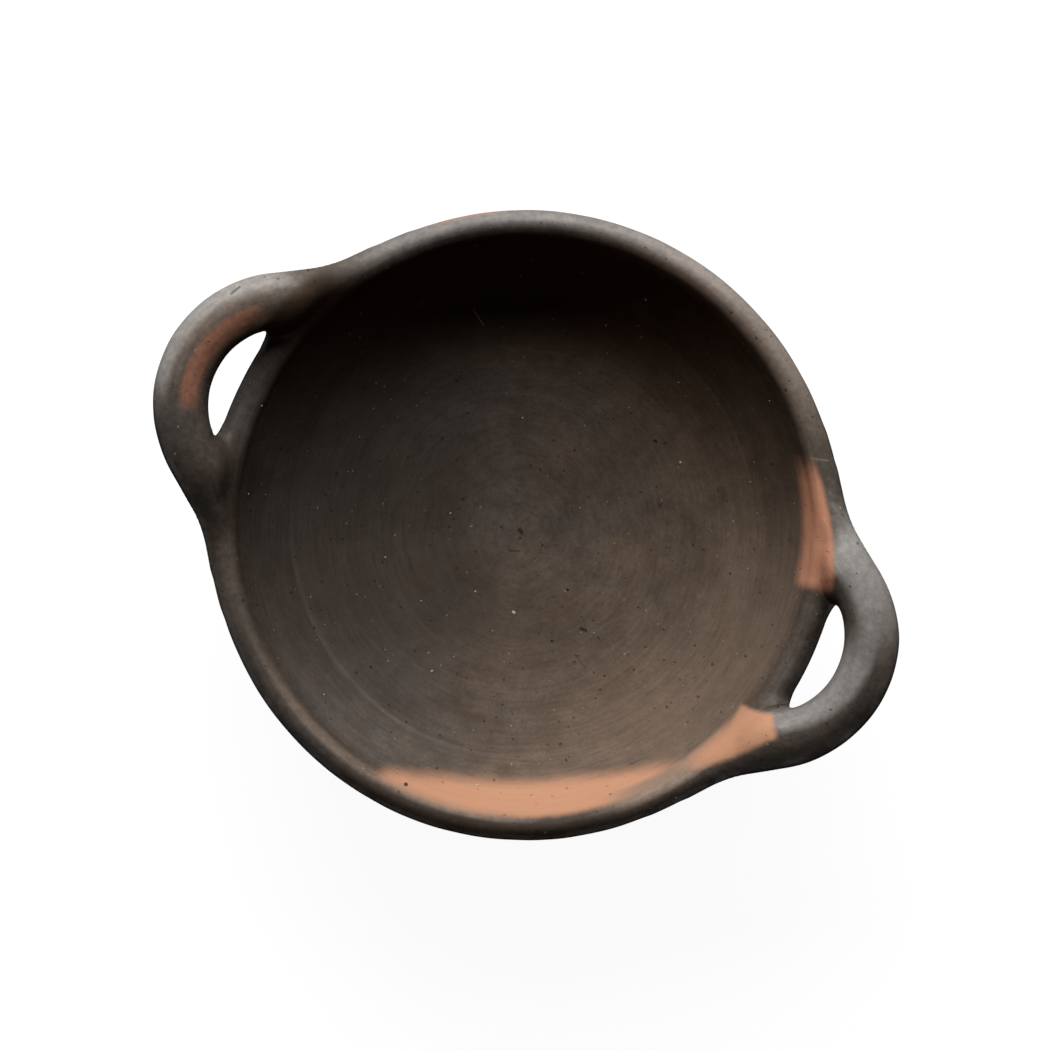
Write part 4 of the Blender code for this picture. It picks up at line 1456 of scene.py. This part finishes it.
class SetStudio(bpy.types.Operator):
    """Set up the pale floor, the soft light and the camera above the bowl"""

    bl_idname = "pottery.set_studio"
    bl_label = "Set up the studio"

    def execute(self, context):
        """Make the stage, the light, the world and the camera."""
        scene = context.scene
        studio, bowl = scene.studio_settings, scene.bowl_sizes
        scene.view_settings.view_transform = "Standard"
        self.floor(studio)
        self.world(scene, studio)
        self.light(studio, bowl)
        self.camera(scene, studio, bowl)
        return {"FINISHED"}

    def floor(self, studio):
        """A wide round floor under the foot, with a low backdrop round it."""
        turns = np.linspace(0.0, math.tau, STAGE_SIDES, endpoint=False)
        edge = [(studio.stage_radius * math.cos(turn), studio.stage_radius * math.sin(turn))
                for turn in turns]
        low = [(x, y, 0.0) for x, y in edge]
        high = [(x, y, studio.backdrop_height) for x, y in edge]
        mesh = bpy.data.meshes.new("pale_floor")
        mesh.from_pydata(low + high, [], [tuple(range(STAGE_SIDES))] + strip(
            range(STAGE_SIDES, 2 * STAGE_SIDES), range(STAGE_SIDES)))
        mesh.materials.append(floor_material(studio))
        ground = linked("pale_floor", mesh)

    def world(self, scene, studio):
        """A low even fill for the clay."""
        scene.world = bpy.data.worlds.new("studio")
        scene.world.use_nodes = True
        background = scene.world.node_tree.nodes["Background"]
        background.inputs["Color"].default_value = opaque((1.0, 1.0, 1.0))
        background.inputs["Strength"].default_value = studio.fill

    def light(self, studio, bowl):
        """One large soft light from the picture's top."""
        turn = studio.photo_turn + studio.key_turn
        upward = Vector((-math.sin(turn), math.cos(turn), 0.0))
        aim = (upward * math.cos(studio.key_elevation)
               + Vector((0.0, 0.0, math.sin(studio.key_elevation))))
        data = bpy.data.lights.new("soft_light", "AREA")
        data.shape = "RECTANGLE"
        data.size = studio.key_width
        data.size_y = studio.key_height
        data.energy = studio.key_power
        lamp = linked("soft_light", data)
        lamp.location = aim * studio.key_distance + Vector((0.0, 0.0, bowl.height))
        lamp.rotation_euler = (-aim).to_track_quat("-Z", "Y").to_euler()

    def camera(self, scene, studio, bowl):
        """The camera straight above the bowl, turned as the picture is."""
        data = bpy.data.cameras.new("camera")
        data.lens = data.sensor_width * studio.camera_height / studio.frame_width
        camera = linked("camera", data)
        camera.location = (0.0, 0.0, bowl.height + studio.camera_height)
        camera.rotation_euler = (0.0, 0.0, studio.photo_turn)
        scene.camera = camera


class PotteryPanel(bpy.types.Panel):
    """Sizes, colours and steps of the bowl"""

    bl_idname = "VIEW3D_PT_pottery"
    bl_label = "Smoke-fired bowl"
    bl_space_type = "VIEW_3D"
    bl_region_type = "UI"
    bl_category = "Pottery"

    def draw(self, context):
        """List the settings and the steps."""
        for group in GROUPS:
            box = self.layout.box()
            settings = getattr(context.scene, group)
            box.label(text=settings.bl_rna.name)
            for name in settings.__annotations__:
                box.prop(settings, name)
        for step in STEPS:
            self.layout.operator(step.bl_idname)


GROUPS = {"bowl_sizes": BowlSizes, "handle_sizes": HandleSizes, "clay_colours": ClayColours,
          "studio_settings": StudioSettings}
STEPS = (TurnBowl, RollHandles, ScatterSand, SetStudio)


def register():
    """Add the settings, the steps and the panel."""
    for made in (*GROUPS.values(), *STEPS, PotteryPanel):
        bpy.utils.register_class(made)
    for name, group in GROUPS.items():
        setattr(bpy.types.Scene, name, PointerProperty(type=group))


def unregister():
    """Take the panel, the steps and the settings away again."""
    for name in GROUPS:
        delattr(bpy.types.Scene, name)
    for made in reversed((*GROUPS.values(), *STEPS, PotteryPanel)):
        bpy.utils.unregister_class(made)


def main():
    """Run every step in order."""
    register()
    bpy.ops.pottery.turn_bowl()
    bpy.ops.pottery.roll_handles()
    bpy.ops.pottery.scatter_sand()
    bpy.ops.pottery.set_studio()


if __name__ == "__main__":
    main()
